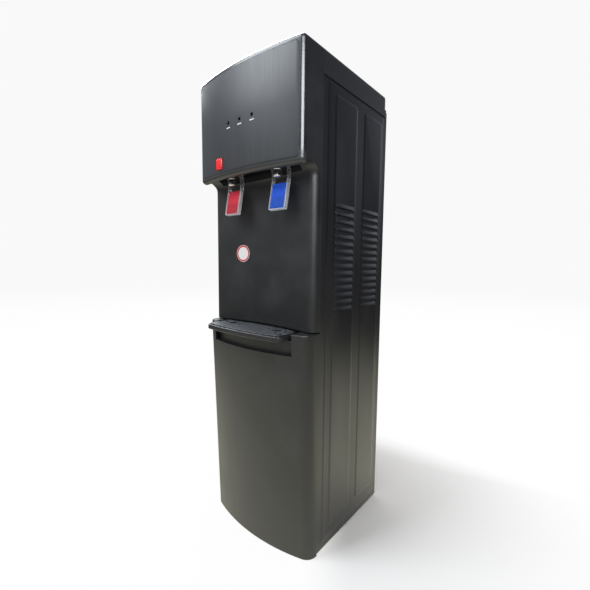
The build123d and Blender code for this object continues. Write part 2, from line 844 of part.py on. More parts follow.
with BuildPart() as tap_nuts:
    for x, y in tap_places:
        with BuildSketch(Plane.XZ.offset(-boss_rear_y - nut_thickness)):
            with Locations((x, shank_z)):
                RegularPolygon(nut_flats / 2, 6, major_radius=False)
                Circle(shank_radius, mode=Mode.SUBTRACT)
        extrude(amount=nut_thickness)
finish(tap_nuts, "tap_nuts")

# Valve plunger: seal, stem and the head that the lever lifts, with the spring over the seal.
stem_head_z = pivot_z + fork_thickness / 2 + fork_play
seal_z = chamber_z + touch_gap
seal_top_z = seal_z + seal_thickness
with BuildPart() as hot_tap_plunger:
    rod_z(hot_x, tap_axis_y, (seal_z, seal_top_z), seal_radius)
    rod_z(hot_x, tap_axis_y, (seal_z, stem_head_z), stem_radius)
    rod_z(hot_x, tap_axis_y, (stem_head_z, stem_head_z + stem_head), stem_head_radius)
finish(hot_tap_plunger, "hot_tap_plunger")

with BuildPart() as cold_tap_plunger:
    mirror(hot_tap_plunger.part, about=Plane.YZ)
finish(cold_tap_plunger, "cold_tap_plunger")

with BuildPart() as hot_tap_spring:
    rod_z(hot_x, tap_axis_y, (seal_top_z, barrel_top_z), seal_radius)
    rod_z(hot_x, tap_axis_y, (seal_top_z, barrel_top_z), stem_radius + touch_gap, Mode.SUBTRACT)
finish(hot_tap_spring, "hot_tap_spring")

with BuildPart() as cold_tap_spring:
    mirror(hot_tap_spring.part, about=Plane.YZ)
finish(cold_tap_spring, "cold_tap_spring")

# Push lever: hub and fork on the pin, a front bar, two curved arms and the clear paddle.
bar_front_y = pivot_y - bar_reach - bar_depth / 2
bar_rear_y = bar_front_y + bar_depth
paddle_top_z = nozzle_tip_z - paddle_top_drop
arm_in = paddle_width / 2 - arm_thickness
hub_half = ear_in - hub_side_gap
paddle_angle = atan(paddle_lean / paddle_height)
paddle_face = Plane(
    origin=(hot_x, seam_y - paddle_top_y - paddle_lean / 2, paddle_top_z - paddle_height / 2),
    x_dir=(1, 0, 0),
    z_dir=(0, cos(paddle_angle), -sin(paddle_angle)),
)
arm_path = [
    ((bar_front_y + bar_rear_y) / 2, pivot_z),
    (seam_y - arm_bend_y, pivot_z - arm_bend_drop),
    (seam_y - paddle_top_y + paddle_depth / 2, paddle_top_z - paddle_wall),
]
with BuildPart() as hot_tap_lever:
    with BuildSketch(paddle_face):
        RectangleRounded(paddle_width, paddle_height, paddle_corner_radius)
    extrude(amount=paddle_depth)
    for x in (hot_x - paddle_width / 2, hot_x + arm_in):
        with BuildSketch(Plane.YZ.offset(x)):
            with BuildLine() as arm_line:
                FilletPolyline(*arm_path, radius=arm_bend_radius)
            SlotArc(arm_line.wire(), arm_width)
        extrude(amount=arm_thickness)
    with BuildSketch(paddle_face.offset(paddle_wall)):
        RectangleRounded(
            paddle_width - 2 * paddle_wall, paddle_height - 2 * paddle_wall, paddle_corner_radius / 2
        )
    extrude(amount=paddle_depth, mode=Mode.SUBTRACT)
    block((hot_x - paddle_width / 2, hot_x + paddle_width / 2), (bar_front_y, bar_rear_y),
          (pivot_z - bar_height / 2, pivot_z + bar_height / 2))
    rod_x(pivot_y, pivot_z, (hot_x - hub_half, hot_x + hub_half), hub_radius)
    block((hot_x - hub_half, hot_x + hub_half), (bar_rear_y, tap_axis_y + stem_head_radius),
          (pivot_z - fork_thickness / 2, pivot_z + fork_thickness / 2))
    fork_slot = stem_radius + arm_clearance
    block((hot_x - fork_slot, hot_x + fork_slot), (tap_axis_y - fork_slot, tap_axis_y + far),
          (pivot_z - hub_radius, pivot_z + hub_radius), Mode.SUBTRACT)
    rod_x(
        pivot_y, pivot_z, (hot_x - hub_half, hot_x + hub_half), pin_radius + pin_clearance, Mode.SUBTRACT
    )
finish(hot_tap_lever, "hot_tap_lever")

with BuildPart() as cold_tap_lever:
    mirror(hot_tap_lever.part, about=Plane.YZ)
finish(cold_tap_lever, "cold_tap_lever")

with BuildPart() as hot_lever_insert:
    with BuildSketch(paddle_face.offset(paddle_wall)):
        RectangleRounded(
            paddle_width - 2 * insert_border, paddle_height - 2 * insert_border, paddle_corner_radius / 2
        )
    extrude(amount=insert_thickness)
finish(hot_lever_insert, "hot_lever_insert")

with BuildPart() as cold_lever_insert:
    mirror(hot_lever_insert.part, about=Plane.YZ)
finish(cold_lever_insert, "cold_lever_insert")

# Round label, bent to the recess wall.
label_z = cabinet_height - label_drop
with BuildPart() as round_label:
    with BuildSketch(Plane.XY.offset(label_z - label_radius)):
        add(wall_plan(-label_thickness))
        add(wall_plan(), mode=Mode.SUBTRACT)
    extrude(amount=2 * label_radius)
    rod_y(label_x, label_z, (joint_y, seam_y), label_radius, Mode.INTERSECT)
finish(round_label, "round_label")

# Top cover: rounded shell with a stepped rim and the dished bottle well.
cover_bottom_z = cabinet_height - cover_skirt
rim_top_z = cover_bottom_z + rim_height
tuck_z = cover_bottom_z + panel_top_tuck
well_axis_y = seam_y + well_y
well_axis = Axis((0, well_axis_y, 0), (0, 0, 1))
well_floor_z = cabinet_height - well_depth
neck_z = well_floor_z - well_fall
gasket_top_z = neck_z - gasket_ring_drop
tank_rim_z = gasket_top_z - gasket_thickness
rim_inner = tank_radius + tank_rim - gasket_width
rim_outer = tank_radius + tank_rim


def turned(points, mode=Mode.ADD):
    """Solid of revolution about the bottle well's axis, from its half section."""
    with BuildSketch(Plane.XZ.offset(-well_axis_y)) as section:
        with BuildLine():
            Polyline(*points, close=True)
        make_face()
    revolve(section.sketch, axis=well_axis, mode=mode)


with BuildPart() as cover_hollow:
    block(
        (-cheek_in, cheek_in), (seam_y + moulding_wall, rear_y - moulding_wall),
        (cover_bottom_z - 1, top_in_z)
    )
    fillet(cover_hollow.edges().group_by(Axis.Z)[-1], head_edge_radius - moulding_wall)

with BuildPart() as cover_rim:
    block(
        (-half_width - rim_step, half_width + rim_step), (seam_y, seam_y + cover_depth),
        (cover_bottom_z, rim_top_z)
    )
    fillet(cover_rim.edges().filter_by(Axis.Z).group_by(Axis.Y)[-1], cover_corner_radius)
    chamfer(cover_rim.edges().group_by(Axis.Z)[-1], rim_step / 2)

with BuildPart() as top_cover:
    block((-half_width, half_width), (seam_y, rear_y), (cover_bottom_z, cabinet_height))
    fillet(top_cover.edges().filter_by(Axis.Z).group_by(Axis.Y)[-1], cover_corner_radius)
    edges = top_cover.edges().group_by(Axis.Z)[-1]
    fillet(edges.filter_by_position(Axis.Y, seam_y + 1, far), head_edge_radius)
    add(cover_rim.part)
    add(cover_hollow.part, mode=Mode.SUBTRACT)
    skirt_in = half_width - panel_inset + touch_gap
    block(
        (-skirt_in, skirt_in), (seam_y - 1, rear_y + touch_gap),
        (cover_bottom_z - 1, tuck_z + touch_gap), Mode.SUBTRACT
    )
    turned([
        (0, top_in_z),
        (well_radius + moulding_wall, top_in_z),
        (well_floor_radius + moulding_wall, well_floor_z - moulding_wall),
        (rim_outer + moulding_wall, well_floor_z - moulding_wall - 1),
        (rim_outer + moulding_wall, gasket_top_z),
        (0, gasket_top_z),
    ])
    turned([
        (neck_radius + moulding_wall, neck_z - moulding_wall),
        (rim_inner - moulding_wall, neck_z - moulding_wall),
        (rim_inner - moulding_wall, gasket_top_z - 1),
        (neck_radius + moulding_wall, gasket_top_z - 1),
    ], Mode.SUBTRACT)
    turned([
        (0, cabinet_height + 1),
        (well_radius, cabinet_height + 1),
        (well_radius, cabinet_height),
        (well_floor_radius, well_floor_z),
        (neck_radius, neck_z),
        (neck_radius, neck_z - 2 * neck_length),
        (0, neck_z - 2 * neck_length),
    ], Mode.SUBTRACT)
    circles = top_cover.edges().filter_by(GeomType.CIRCLE)
    fillet(circles.filter_by(lambda edge: abs(edge.radius - well_radius) < hair), well_edge_radius)
finish(top_cover, "top_cover")

# Bottle seat: flange, funnel and sleeve, with the hollow probe on four spokes.
seat_slope = well_fall / (well_floor_radius - neck_radius)
flange_z = neck_z + seat_slope * (seat_flange_radius - neck_radius) + touch_gap
seat_top_z = flange_z + seat_flange
funnel_z = seat_top_z - seat_funnel_depth
sleeve_z = flange_z - seat_sleeve_depth
collar_radius = neck_radius - slide_gap
with BuildPart() as bottle_seat:
    turned([
        (seat_mouth_radius, seat_top_z),
        (seat_flange_radius, seat_top_z),
        (seat_flange_radius, flange_z),
        (collar_radius, flange_z),
        (collar_radius, flange_z - seat_collar),
        (seat_mouth_radius - seat_wall, flange_z - seat_collar),
        (bottle_neck_radius + seat_wall, funnel_z),
        (bottle_neck_radius + seat_wall, sleeve_z),
        (bottle_neck_radius, sleeve_z),
        (bottle_neck_radius, funnel_z),
    ])
    reach = bottle_neck_radius + seat_wall / 2
    half_spoke = spoke_width / 2
    block(
        (-reach, reach), (well_axis_y - half_spoke, well_axis_y + half_spoke),
        (sleeve_z, sleeve_z + spoke_width)
    )
    block(
        (-half_spoke, half_spoke), (well_axis_y - reach, well_axis_y + reach),
        (sleeve_z, sleeve_z + spoke_width)
    )
    probe_top_z = sleeve_z + probe_length
    rod_z(0, well_axis_y, (sleeve_z, probe_top_z), probe_radius)
    tip = bottle_seat.edges().filter_by_position(Axis.Z, probe_top_z - hair, probe_top_z + hair)
    fillet(tip, probe_radius - seat_wall)
    rod_z(0, well_axis_y, (sleeve_z, probe_top_z - 2 * seat_wall), probe_bore_radius, Mode.SUBTRACT)
    rod_x(
        well_axis_y, probe_top_z - probe_port_drop, (-probe_radius, probe_radius),
        probe_port_radius, Mode.SUBTRACT
    )
finish(bottle_seat, "bottle_seat")

with BuildPart() as seat_gasket:
    rod_z(0, well_axis_y, (tank_rim_z, gasket_top_z), rim_outer)
    rod_z(0, well_axis_y, (tank_rim_z, gasket_top_z), rim_inner, Mode.SUBTRACT)
finish(seat_gasket, "seat_gasket")

# Right side panel: folded sheet with a recessed band, two raised fields and rows of louvres.
panel_out = half_width - panel_inset
panel_in = panel_out - sheet
field_out = panel_out + field_step
louvre_top_z = cabinet_height - louvre_top_drop - louvre_drop
louvre_z = louvre_top_z - (louvre_count - 1) * louvre_pitch / 2
field_top_z = cabinet_height - field_top_drop
field_mid_z = (field_bottom_z + field_top_z) / 2
panel_z = (panel_foot_gap, tuck_z)
hood = [(0, louvre_drop), (louvre_reach, 0), (0, 0)]
throat = [
    (-2 * sheet, 0),
    (louvre_reach - sheet, 0),
    (-field_shrink, louvre_drop - 2 * sheet),
    (-2 * sheet, louvre_drop - 2 * sheet),
]
with BuildPart() as right_side_panel:
    block((panel_out - panel_flange, panel_out), (seam_y, seam_y + sheet), panel_z)
    block((panel_in, panel_out), (seam_y, seam_y + band_start), panel_z)
    block((panel_in - band_step, panel_out - band_step),
          (seam_y + band_start - sheet, seam_y + band_start + band_width + sheet), panel_z)
    block((panel_in, panel_out), (seam_y + band_start + band_width, rear_y), panel_z)
    block((panel_out - panel_flange, panel_out), (rear_y - sheet, rear_y), panel_z)
    for field_y, width in ((field_front, field_width), (field_front + field_pitch, field_rear_width)):
        middle = (seam_y + field_y + width / 2, field_mid_z)
        height = field_top_z - field_bottom_z
        with BuildSketch(Plane.YZ.offset(panel_out)):
            with Locations(middle):
                RectangleRounded(width, height, field_corner_radius)
        extrude(amount=field_step, taper=field_taper)
        with BuildSketch(Plane.YZ.offset(panel_in)):
            with Locations(middle):
                RectangleRounded(width - 2 * field_shrink, height - 2 * field_shrink, field_corner_radius)
        extrude(amount=field_step, taper=field_taper, mode=Mode.SUBTRACT)
    for louvre_y in (louvre_front, louvre_front + louvre_column_pitch):
        for outline, margin, mode in ((hood, 0, Mode.ADD), (throat, sheet, Mode.SUBTRACT)):
            with BuildSketch(Plane.XZ.offset(margin - seam_y - louvre_y - louvre_length)):
                with Locations((field_out, louvre_z)):
                    with GridLocations(1, louvre_pitch, 1, louvre_count):
                        Polygon(*outline, align=None)
            extrude(amount=louvre_length - 2 * margin, mode=mode)
finish(right_side_panel, "right_side_panel")

with BuildPart() as left_side_panel:
    mirror(right_side_panel.part, about=Plane.YZ)
finish(left_side_panel, "left_side_panel")

# Base plate: folded sheet on four rubber feet.
base_half = panel_in - band_step
base_y = (seam_y + sheet, rear_y - 2 * sheet)
with BuildPart() as base_plate:
    block((-base_half, base_half), base_y, (foot_height, foot_height + base_flange))
    inner_half = base_half - base_sheet
    block((-inner_half, inner_half), (base_y[0] + base_sheet, base_y[1] - base_sheet),
          (foot_height + base_sheet, far), Mode.SUBTRACT)
finish(base_plate, "base_plate")

foot_x = half_width - foot_inset_x
foot_places = [(x, y) for x in (-foot_x, foot_x) for y in (seam_y + foot_front, rear_y - foot_rear)]
with BuildPart() as rubber_feet:
    with Locations([(x, y, foot_height / 2) for x, y in foot_places]):
        Cone(foot_tip_radius, foot_radius, foot_height)
finish(rubber_feet, "rubber_feet")

# Cold tank: open steel cup with a rolled rim and two stubs below, on the shelf in its jacket.
tank_inner = tank_radius - tank_wall
tank_bottom_z = cabinet_height - tank_bottom_drop
baffle_z = tank_bottom_z + baffle_rise
jacket_bottom_z = tank_bottom_z - jacket_base
jacket_top_z = tank_rim_z - jacket_top_gap
jacket_inner = tank_radius + coil_tube + 2 * touch_gap
shelf_under_z_tank = jacket_bottom_z - base_sheet
stub_radius = hose_bore_radius
stub_bottom_z = shelf_under_z_tank - stub_length
cold_stubs = [(cold_stub_x, seam_y + cold_stub_y), (cold_drain_x, seam_y + cold_drain_y)]
with BuildPart() as cold_tank:
    turned([
        (0, tank_bottom_z),
        (tank_radius, tank_bottom_z),
        (tank_radius, tank_rim_z - tank_wall),
        (rim_outer, tank_rim_z - tank_wall),
        (rim_outer, tank_rim_z),
        (tank_inner, tank_rim_z),
        (tank_inner, tank_bottom_z + tank_wall),
        (0, tank_bottom_z + tank_wall),
    ])
    for x, y in cold_stubs:
        rod_z(x, y, (stub_bottom_z, tank_bottom_z + tank_wall), stub_radius)
        rod_z(x, y, (stub_bottom_z, tank_bottom_z + tank_wall), stub_radius - stub_wall, Mode.SUBTRACT)
    rod_z(0, well_axis_y, (tank_bottom_z, tank_bottom_z + tank_wall), transfer_radius, Mode.SUBTRACT)
finish(cold_tank, "cold_tank")

with BuildPart() as cold_tank_jacket:
    turned([
        (0, jacket_bottom_z),
        (jacket_radius, jacket_bottom_z),
        (jacket_radius, jacket_top_z),
        (jacket_inner, jacket_top_z),
        (jacket_inner, tank_bottom_z),
        (0, tank_bottom_z),
    ])
    for x, y in cold_stubs:
        rod_z(x, y, (jacket_bottom_z, tank_bottom_z), stub_radius + touch_gap, Mode.SUBTRACT)
    rod_z(0, well_axis_y, (jacket_bottom_z, tank_bottom_z), transfer_radius + touch_gap, Mode.SUBTRACT)
finish(cold_tank_jacket, "cold_tank_jacket")

with BuildPart() as evaporator_coil:
    coil_z = (tank_bottom_z + coil_bottom, tank_bottom_z + coil_bottom + coil_height)
    rod_z(0, well_axis_y, coil_z, tank_radius + touch_gap + coil_tube)
    rod_z(0, well_axis_y, coil_z, tank_radius + touch_gap, Mode.SUBTRACT)
finish(evaporator_coil, "evaporator_coil")

with BuildPart() as tank_baffle:
    baffle = (baffle_z, baffle_z + baffle_thickness)
    rod_z(0, well_axis_y, baffle, tank_inner - touch_gap)
    rod_z(0, well_axis_y, baffle, transfer_radius + touch_gap, Mode.SUBTRACT)
    with Locations((0, well_axis_y, baffle_z + baffle_thickness / 2)):
        with PolarLocations(baffle_port_ring, baffle_ports):
            Cylinder(baffle_port_radius, 2 * baffle_thickness, mode=Mode.SUBTRACT)
finish(tank_baffle, "tank_baffle")

# Hot tank under the shelf, in its own jacket, fed from the baffle by the transfer pipe.
hot_jacket_top_z = shelf_under_z_tank - hot_jacket_gap
hot_top_z = hot_jacket_top_z - hot_jacket
hot_bottom_z = hot_top_z - hot_height
hot_outlet_z = hot_top_z - hot_outlet_drop
hose_low_z = hot_top_z - hose_low_drop
hot_jacket_bottom_z = hot_bottom_z - hot_jacket
hot_jacket_radius = hot_radius + hot_jacket
hot_drain_place = (hot_drain_x, seam_y + hot_drain_y)
hot_stub_x = (-hot_jacket_radius - stub_length, -hot_radius + tank_wall / 2)
with BuildPart() as tank_shelf:
    block((-panel_in, panel_in), (seam_y + shelf_front, base_y[1]), (shelf_under_z_tank, jacket_bottom_z))
    block((-panel_in, panel_in), (seam_y + shelf_front, seam_y + shelf_front + base_sheet),
          (shelf_under_z_tank - shelf_fold, shelf_under_z_tank))
    with Locations((0, well_axis_y, (shelf_under_z_tank + hot_jacket_top_z) / 2)):
        with PolarLocations(hot_radius, hanger_count):
            Cylinder(hanger_radius, hot_jacket_gap)
    shelf_cut = (shelf_under_z_tank - 2 * shelf_fold, jacket_bottom_z + 1)
    for x, y in cold_stubs:
        rod_z(x, y, shelf_cut, hose_bore_radius + hose_wall + touch_gap, Mode.SUBTRACT)
    for x, y in tap_places:
        rod_z(x, shank_end_y - shank_radius, shelf_cut, hose_bore_radius + 2 * hose_wall, Mode.SUBTRACT)
    rod_z(0, well_axis_y, shelf_cut, transfer_radius + touch_gap, Mode.SUBTRACT)
    rod_z(suction_x, seam_y + suction_y, shelf_cut, copper_radius + touch_gap, Mode.SUBTRACT)
    rod_z(capillary_x, seam_y + capillary_y, shelf_cut, capillary_radius + touch_gap, Mode.SUBTRACT)
finish(tank_shelf, "tank_shelf")

with BuildPart() as hot_tank:
    rod_z(0, well_axis_y, (hot_bottom_z, hot_top_z), hot_radius)
    rod_x(well_axis_y, hot_outlet_z, hot_stub_x, stub_radius)
    rod_z(*hot_drain_place, (hot_jacket_bottom_z - stub_length, hot_bottom_z), stub_radius)
    rod_z(
        0, well_axis_y, (hot_bottom_z + tank_wall, hot_top_z - tank_wall), hot_radius - tank_wall,
        Mode.SUBTRACT
    )
    rod_x(well_axis_y, hot_outlet_z, hot_stub_x, stub_radius - stub_wall, Mode.SUBTRACT)
    rod_z(*hot_drain_place, (hot_jacket_bottom_z - stub_length, hot_bottom_z + 2 * tank_wall),
          stub_radius - stub_wall, Mode.SUBTRACT)
    rod_z(0, well_axis_y, (hot_top_z - 2 * tank_wall, hot_top_z), transfer_radius, Mode.SUBTRACT)
finish(hot_tank, "hot_tank")

thermostat_z = [hot_top_z - thermostat_drop, hot_top_z - thermostat_drop - thermostat_pitch]
thermostat_y = well_axis_y - hot_radius - thermostat_length
with BuildPart() as hot_tank_jacket:
    rod_z(0, well_axis_y, (hot_jacket_bottom_z, hot_jacket_top_z), hot_jacket_radius)
    rod_z(
        0, well_axis_y, (hot_bottom_z, hot_top_z), hot_radius + heater_thickness + touch_gap,
        Mode.SUBTRACT
    )
    rod_x(well_axis_y, hot_outlet_z, hot_stub_x, stub_radius + touch_gap, Mode.SUBTRACT)
    rod_z(*hot_drain_place, (hot_jacket_bottom_z, hot_bottom_z), stub_radius + touch_gap, Mode.SUBTRACT)
    rod_z(0, well_axis_y, (hot_top_z, hot_jacket_top_z), transfer_radius + touch_gap, Mode.SUBTRACT)
    for z in thermostat_z:
        rod_y(
            0, z, (well_axis_y - 2 * hot_radius, well_axis_y - hot_radius), thermostat_radius + 1,
            Mode.SUBTRACT
        )
finish(hot_tank_jacket, "hot_tank_jacket")

with BuildPart() as heater_band:
    heater = (hot_bottom_z + heater_rise, hot_bottom_z + heater_rise + heater_height)
    rod_z(0, well_axis_y, heater, hot_radius + heater_thickness)
    rod_z(0, well_axis_y, heater, hot_radius, Mode.SUBTRACT)
finish(heater_band, "heater_band")

with BuildPart() as tank_thermostats:
    for z in thermostat_z:
        rod_y(0, z, (thermostat_y, well_axis_y - hot_radius), thermostat_radius)
finish(tank_thermostats, "tank_thermostats")

with BuildPart() as transfer_pipe:
    pipe_top_z = baffle_z + baffle_thickness
    rod_z(0, well_axis_y, (hot_top_z - transfer_drop, pipe_top_z), transfer_radius)
    rod_z(0, well_axis_y, (pipe_top_z, pipe_top_z + transfer_wall), 2 * transfer_radius)
    rod_z(0, well_axis_y, (hot_top_z - transfer_drop, pipe_top_z + transfer_wall),
          transfer_radius - transfer_wall, Mode.SUBTRACT)
finish(transfer_pipe, "transfer_pipe")


def tube(points, radii, outer, bore=0.0):
    """Round tube along straight runs joined by arcs, one radius for each corner."""
    with BuildPart() as pipe:
        with BuildLine() as route:
            FilletPolyline(*points, radius=radii)
        heading = Vector(points[1]) - Vector(points[0])
        with BuildSketch(Plane(origin=points[0], z_dir=heading)):
            Circle(outer)
            if bore:
                Circle(bore, mode=Mode.SUBTRACT)
        sweep(path=route.wire())
    return pipe.part


# Hoses from the tanks to the taps, pushed over the stubs and the taps' elbows.
hose_outer = hose_bore_radius + hose_wall
hose_y = shank_end_y - shank_radius
hose_top_z = tail_bottom_z + stub_length - 2 * hose_wall
hose_start_z = shelf_under_z_tank - hose_wall
cold_stub_place = (cold_stub_x, seam_y + cold_stub_y)
with BuildPart() as tap_hoses:
    cold_route = [
        (*cold_stub_place, hose_start_z),
        (*cold_stub_place, hose_low_z),
        (-hot_x, hose_y, hose_low_z),
        (-hot_x, hose_y, hose_top_z),
    ]
    add(tube(cold_route, [hose_bend, hose_bend], hose_outer, hose_bore_radius))
    hot_route = [
        (-hot_jacket_radius - touch_gap, well_axis_y, hot_outlet_z),
        (hot_outlet_x, well_axis_y, hot_outlet_z),
        (hot_x, hose_y, hot_outlet_z - hose_outer),
        (hot_x, hose_y, hose_top_z),
    ]
    add(tube(hot_route, [hose_tight_bend, hose_bend], hose_outer, hose_bore_radius))
finish(tap_hoses, "tap_hoses")

# Drain hoses down to the outlets in the rear panel.
rear_sheet_y = rear_y - 2 * sheet
cold_drain_place = (cold_drain_x, seam_y + cold_drain_y)
with BuildPart() as drain_hoses:
    hot_drain_top_z = hot_jacket_bottom_z - hose_wall
    for place, top_z in ((cold_drain_place, hose_start_z), (hot_drain_place, hot_drain_top_z)):
        drain_route = [(*place, top_z), (*place, drain_z), (place[0], rear_sheet_y - touch_gap, drain_z)]
        add(tube(drain_route, [hose_bend], hose_outer, hose_bore_radius))
finish(drain_hoses, "drain_hoses")

outlet_y = rear_y - sheet
outlet_end_y = outlet_y + outlet_length
with BuildPart() as drain_outlets:
    for x in (cold_drain_x, hot_drain_x):
        rod_y(x, drain_z, (rear_sheet_y - stub_length, outlet_y), hose_bore_radius)
        rod_y(x, drain_z, (rear_sheet_y, outlet_end_y), outlet_radius)
        rod_y(x, drain_z, (outlet_y, outlet_y + outlet_flange), outlet_flange_radius)
        rod_y(x, drain_z, (rear_sheet_y - stub_length, outlet_end_y), tail_bore_radius, Mode.SUBTRACT)
finish(drain_outlets, "drain_outlets")

# Drain caps: fluted cups over the outlets.
cap_y = (outlet_y + outlet_flange + slide_gap, outlet_end_y + cap_clearance + cap_wall)
with BuildPart() as cold_drain_cap:
    rod_y(cold_drain_x, drain_z, cap_y, cap_radius)
    chamfer(cold_drain_cap.edges().group_by(Axis.Y)[-1], cap_clearance * 2)
    rod_y(
        cold_drain_x, drain_z, (cap_y[0], outlet_end_y + cap_clearance),
        outlet_radius + cap_clearance, Mode.SUBTRACT
    )
finish(cold_drain_cap, "cold_drain_cap")

with BuildPart() as hot_drain_cap:
    rod_y(hot_drain_x, drain_z, cap_y, cap_radius)
    chamfer(hot_drain_cap.edges().group_by(Axis.Y)[-1], cap_clearance * 2)
    rod_y(
        hot_drain_x, drain_z, (cap_y[0], outlet_end_y + cap_clearance),
        outlet_radius + cap_clearance, Mode.SUBTRACT
    )
finish(hot_drain_cap, "hot_drain_cap")

# Compressor on its mounting plate and grommets.
base_top_z = foot_height + base_sheet
plate_z = base_top_z + grommet_height
shell_z = plate_z + mount_plate
shell_top_z = shell_z + compressor_height
compressor_axis_y = seam_y + compressor_y
port_z = shell_top_z - port_depth
suction_run_z = shell_top_z + suction_rise
discharge_z = shell_top_z + discharge_rise
with BuildPart() as compressor:
    rod_z(compressor_x, compressor_axis_y, (shell_z, shell_top_z), compressor_radius)
    fillet(compressor.edges().group_by(Axis.Z)[-1], compressor_crown)
    fillet(compressor.edges().group_by(Axis.Z)[0], compressor_crown / 2)
    weld_z = (shell_z + shell_top_z) / 2
    rod_z(compressor_x, compressor_axis_y, (weld_z - compressor_weld, weld_z + compressor_weld),
          compressor_radius + compressor_weld)
    side = compressor_x + compressor_radius
    block((side - terminal_reach, side + terminal_reach),
          (compressor_axis_y - terminal_width / 2, compressor_axis_y + terminal_width / 2),
          (weld_z - terminal_width / 2, weld_z + terminal_width / 2))
    block((compressor_x - mount_length / 2, compressor_x + mount_length / 2),
          (compressor_axis_y - mount_depth / 2, compressor_axis_y + mount_depth / 2), (plate_z, shell_z))
    for x in (compressor_x - port_offset, compressor_x + port_offset):
        rod_z(x, compressor_axis_y, (port_z, shell_top_z), copper_radius, Mode.SUBTRACT)
finish(compressor, "compressor")

with BuildPart() as compressor_grommets:
    with Locations((compressor_x, compressor_axis_y, (base_top_z + plate_z) / 2)):
        with GridLocations(2 * mount_hole_x, 2 * mount_hole_y, 2, 2):
            Cylinder(grommet_radius, grommet_height)
finish(compressor_grommets, "compressor_grommets")

# Filter drier and the copper tubes of the refrigerant circuit.
drier_axis_y = seam_y + drier_y
drier_z = discharge_z + drier_rise
drier_top_z = drier_z + drier_length
with BuildPart() as filter_drier:
    rod_z(drier_x, drier_axis_y, (drier_z, drier_top_z), drier_radius)
    fillet(filter_drier.edges().filter_by(GeomType.CIRCLE), drier_radius / 2)
finish(filter_drier, "filter_drier")

coil_y = rear_y + condenser_standoff
condenser_top_z = cabinet_height - condenser_top_drop
with BuildPart() as refrigerant_tubes:
    suction_route = [
        (suction_x, seam_y + suction_y, jacket_bottom_z),
        (suction_x, seam_y + suction_y, suction_run_z),
        (compressor_x + port_offset, compressor_axis_y, suction_run_z),
        (compressor_x + port_offset, compressor_axis_y, port_z),
    ]
    add(tube(suction_route, [copper_bend, copper_bend], copper_radius))
    discharge_route = [
        (compressor_x - port_offset, compressor_axis_y, port_z),
        (compressor_x - port_offset, compressor_axis_y, discharge_z),
        (discharge_x, coil_y, discharge_z),
        (discharge_x, coil_y, condenser_top_z),
        (-condenser_half_width, coil_y, condenser_top_z),
    ]
    add(tube(discharge_route, [copper_bend] * 3, copper_radius))
    liquid_route = [
        (condenser_half_width, coil_y, condenser_bottom_z),
        (-discharge_x, coil_y, condenser_bottom_z),
        (-discharge_x, coil_y, discharge_z),
        (drier_x, drier_axis_y, discharge_z),
        (drier_x, drier_axis_y, drier_z),
    ]
    add(tube(liquid_route, [copper_bend, copper_bend, copper_bend / 2], copper_radius))
    capillary_route = [
        (drier_x, drier_axis_y, drier_top_z),
        (drier_x, drier_axis_y, hot_outlet_z),
        (capillary_x, seam_y + capillary_y, hot_outlet_z),
        (capillary_x, seam_y + capillary_y, jacket_bottom_z),
    ]
    add(tube(capillary_route, [copper_bend, copper_bend], capillary_radius))
finish(refrigerant_tubes, "refrigerant_tubes")

# Condenser: a flat serpentine with upright wires over it.
condenser_pitch = (condenser_top_z - condenser_bottom_z) / (condenser_passes - 1)
condenser_points = []
for row in range(condenser_passes):
    row_z = condenser_bottom_z + row * condenser_pitch
    start_x = condenser_half_width if row % 2 == 0 else -condenser_half_width
    condenser_points += [(start_x, coil_y, row_z), (-start_x, coil_y, row_z)]
with BuildPart() as condenser:
    turn = condenser_pitch / 2 - slide_gap
    add(tube(condenser_points, [turn] * (len(condenser_points) - 2), condenser_tube_radius))
    wire_radius = condenser_wire / 2
    wire_y = coil_y + condenser_tube_radius + wire_radius
    wire_middle = (0, wire_y, (condenser_bottom_z + condenser_top_z) / 2)
    with Locations(wire_middle):
        with GridLocations(wire_pitch, 1, wire_count, 1):
            Cylinder(wire_radius, condenser_top_z - condenser_bottom_z + condenser_pitch / 2)
finish(condenser, "condenser")

with BuildPart() as condenser_brackets:
    bracket_half = bracket_width / 2
    for x in (-bracket_x, bracket_x):
        for z in (condenser_bottom_z + condenser_pitch, condenser_top_z - condenser_pitch):
            block(
                (x - bracket_half, x + bracket_half), (outlet_y, coil_y - condenser_tube_radius),
                (z - sheet, z + sheet)
            )
            block(
                (x - bracket_half, x + bracket_half), (outlet_y, outlet_y + base_sheet),
                (z - sheet, z + bracket_half)
            )
finish(condenser_brackets, "condenser_brackets")

# Switch frame with two rockers.
rocker_places = [switch_x - switch_pitch / 2, switch_x + switch_pitch / 2]
window_x = rocker_width / 2 + rocker_clearance
window_z = rocker_height / 2 + rocker_clearance
frame_x = switch_pitch / 2 + window_x + switch_border
frame_z = window_z + switch_border
body_x = frame_x - switch_border / 2
body_z = frame_z - switch_border / 2
rocker_y = outlet_y
switch_z = cabinet_height - switch_drop
with BuildPart() as switch_frame:
    block((switch_x - frame_x, switch_x + frame_x), (outlet_y, outlet_y + switch_frame_depth),
          (switch_z - frame_z, switch_z + frame_z))
    block((switch_x - body_x, switch_x + body_x), (outlet_y - switch_body_depth, outlet_y),
          (switch_z - body_z, switch_z + body_z))
    for x in rocker_places:
        block((x - window_x, x + window_x), (outlet_y - switch_body_depth + base_sheet, far),
              (switch_z - window_z, switch_z + window_z), Mode.SUBTRACT)
        pin_reach = rocker_width / 2 + rocker_pin_length + rocker_clearance
        rod_x(
            rocker_y, switch_z, (x - pin_reach, x + pin_reach), rocker_pin_radius + pin_clearance,
            Mode.SUBTRACT
        )
finish(switch_frame, "switch_frame")


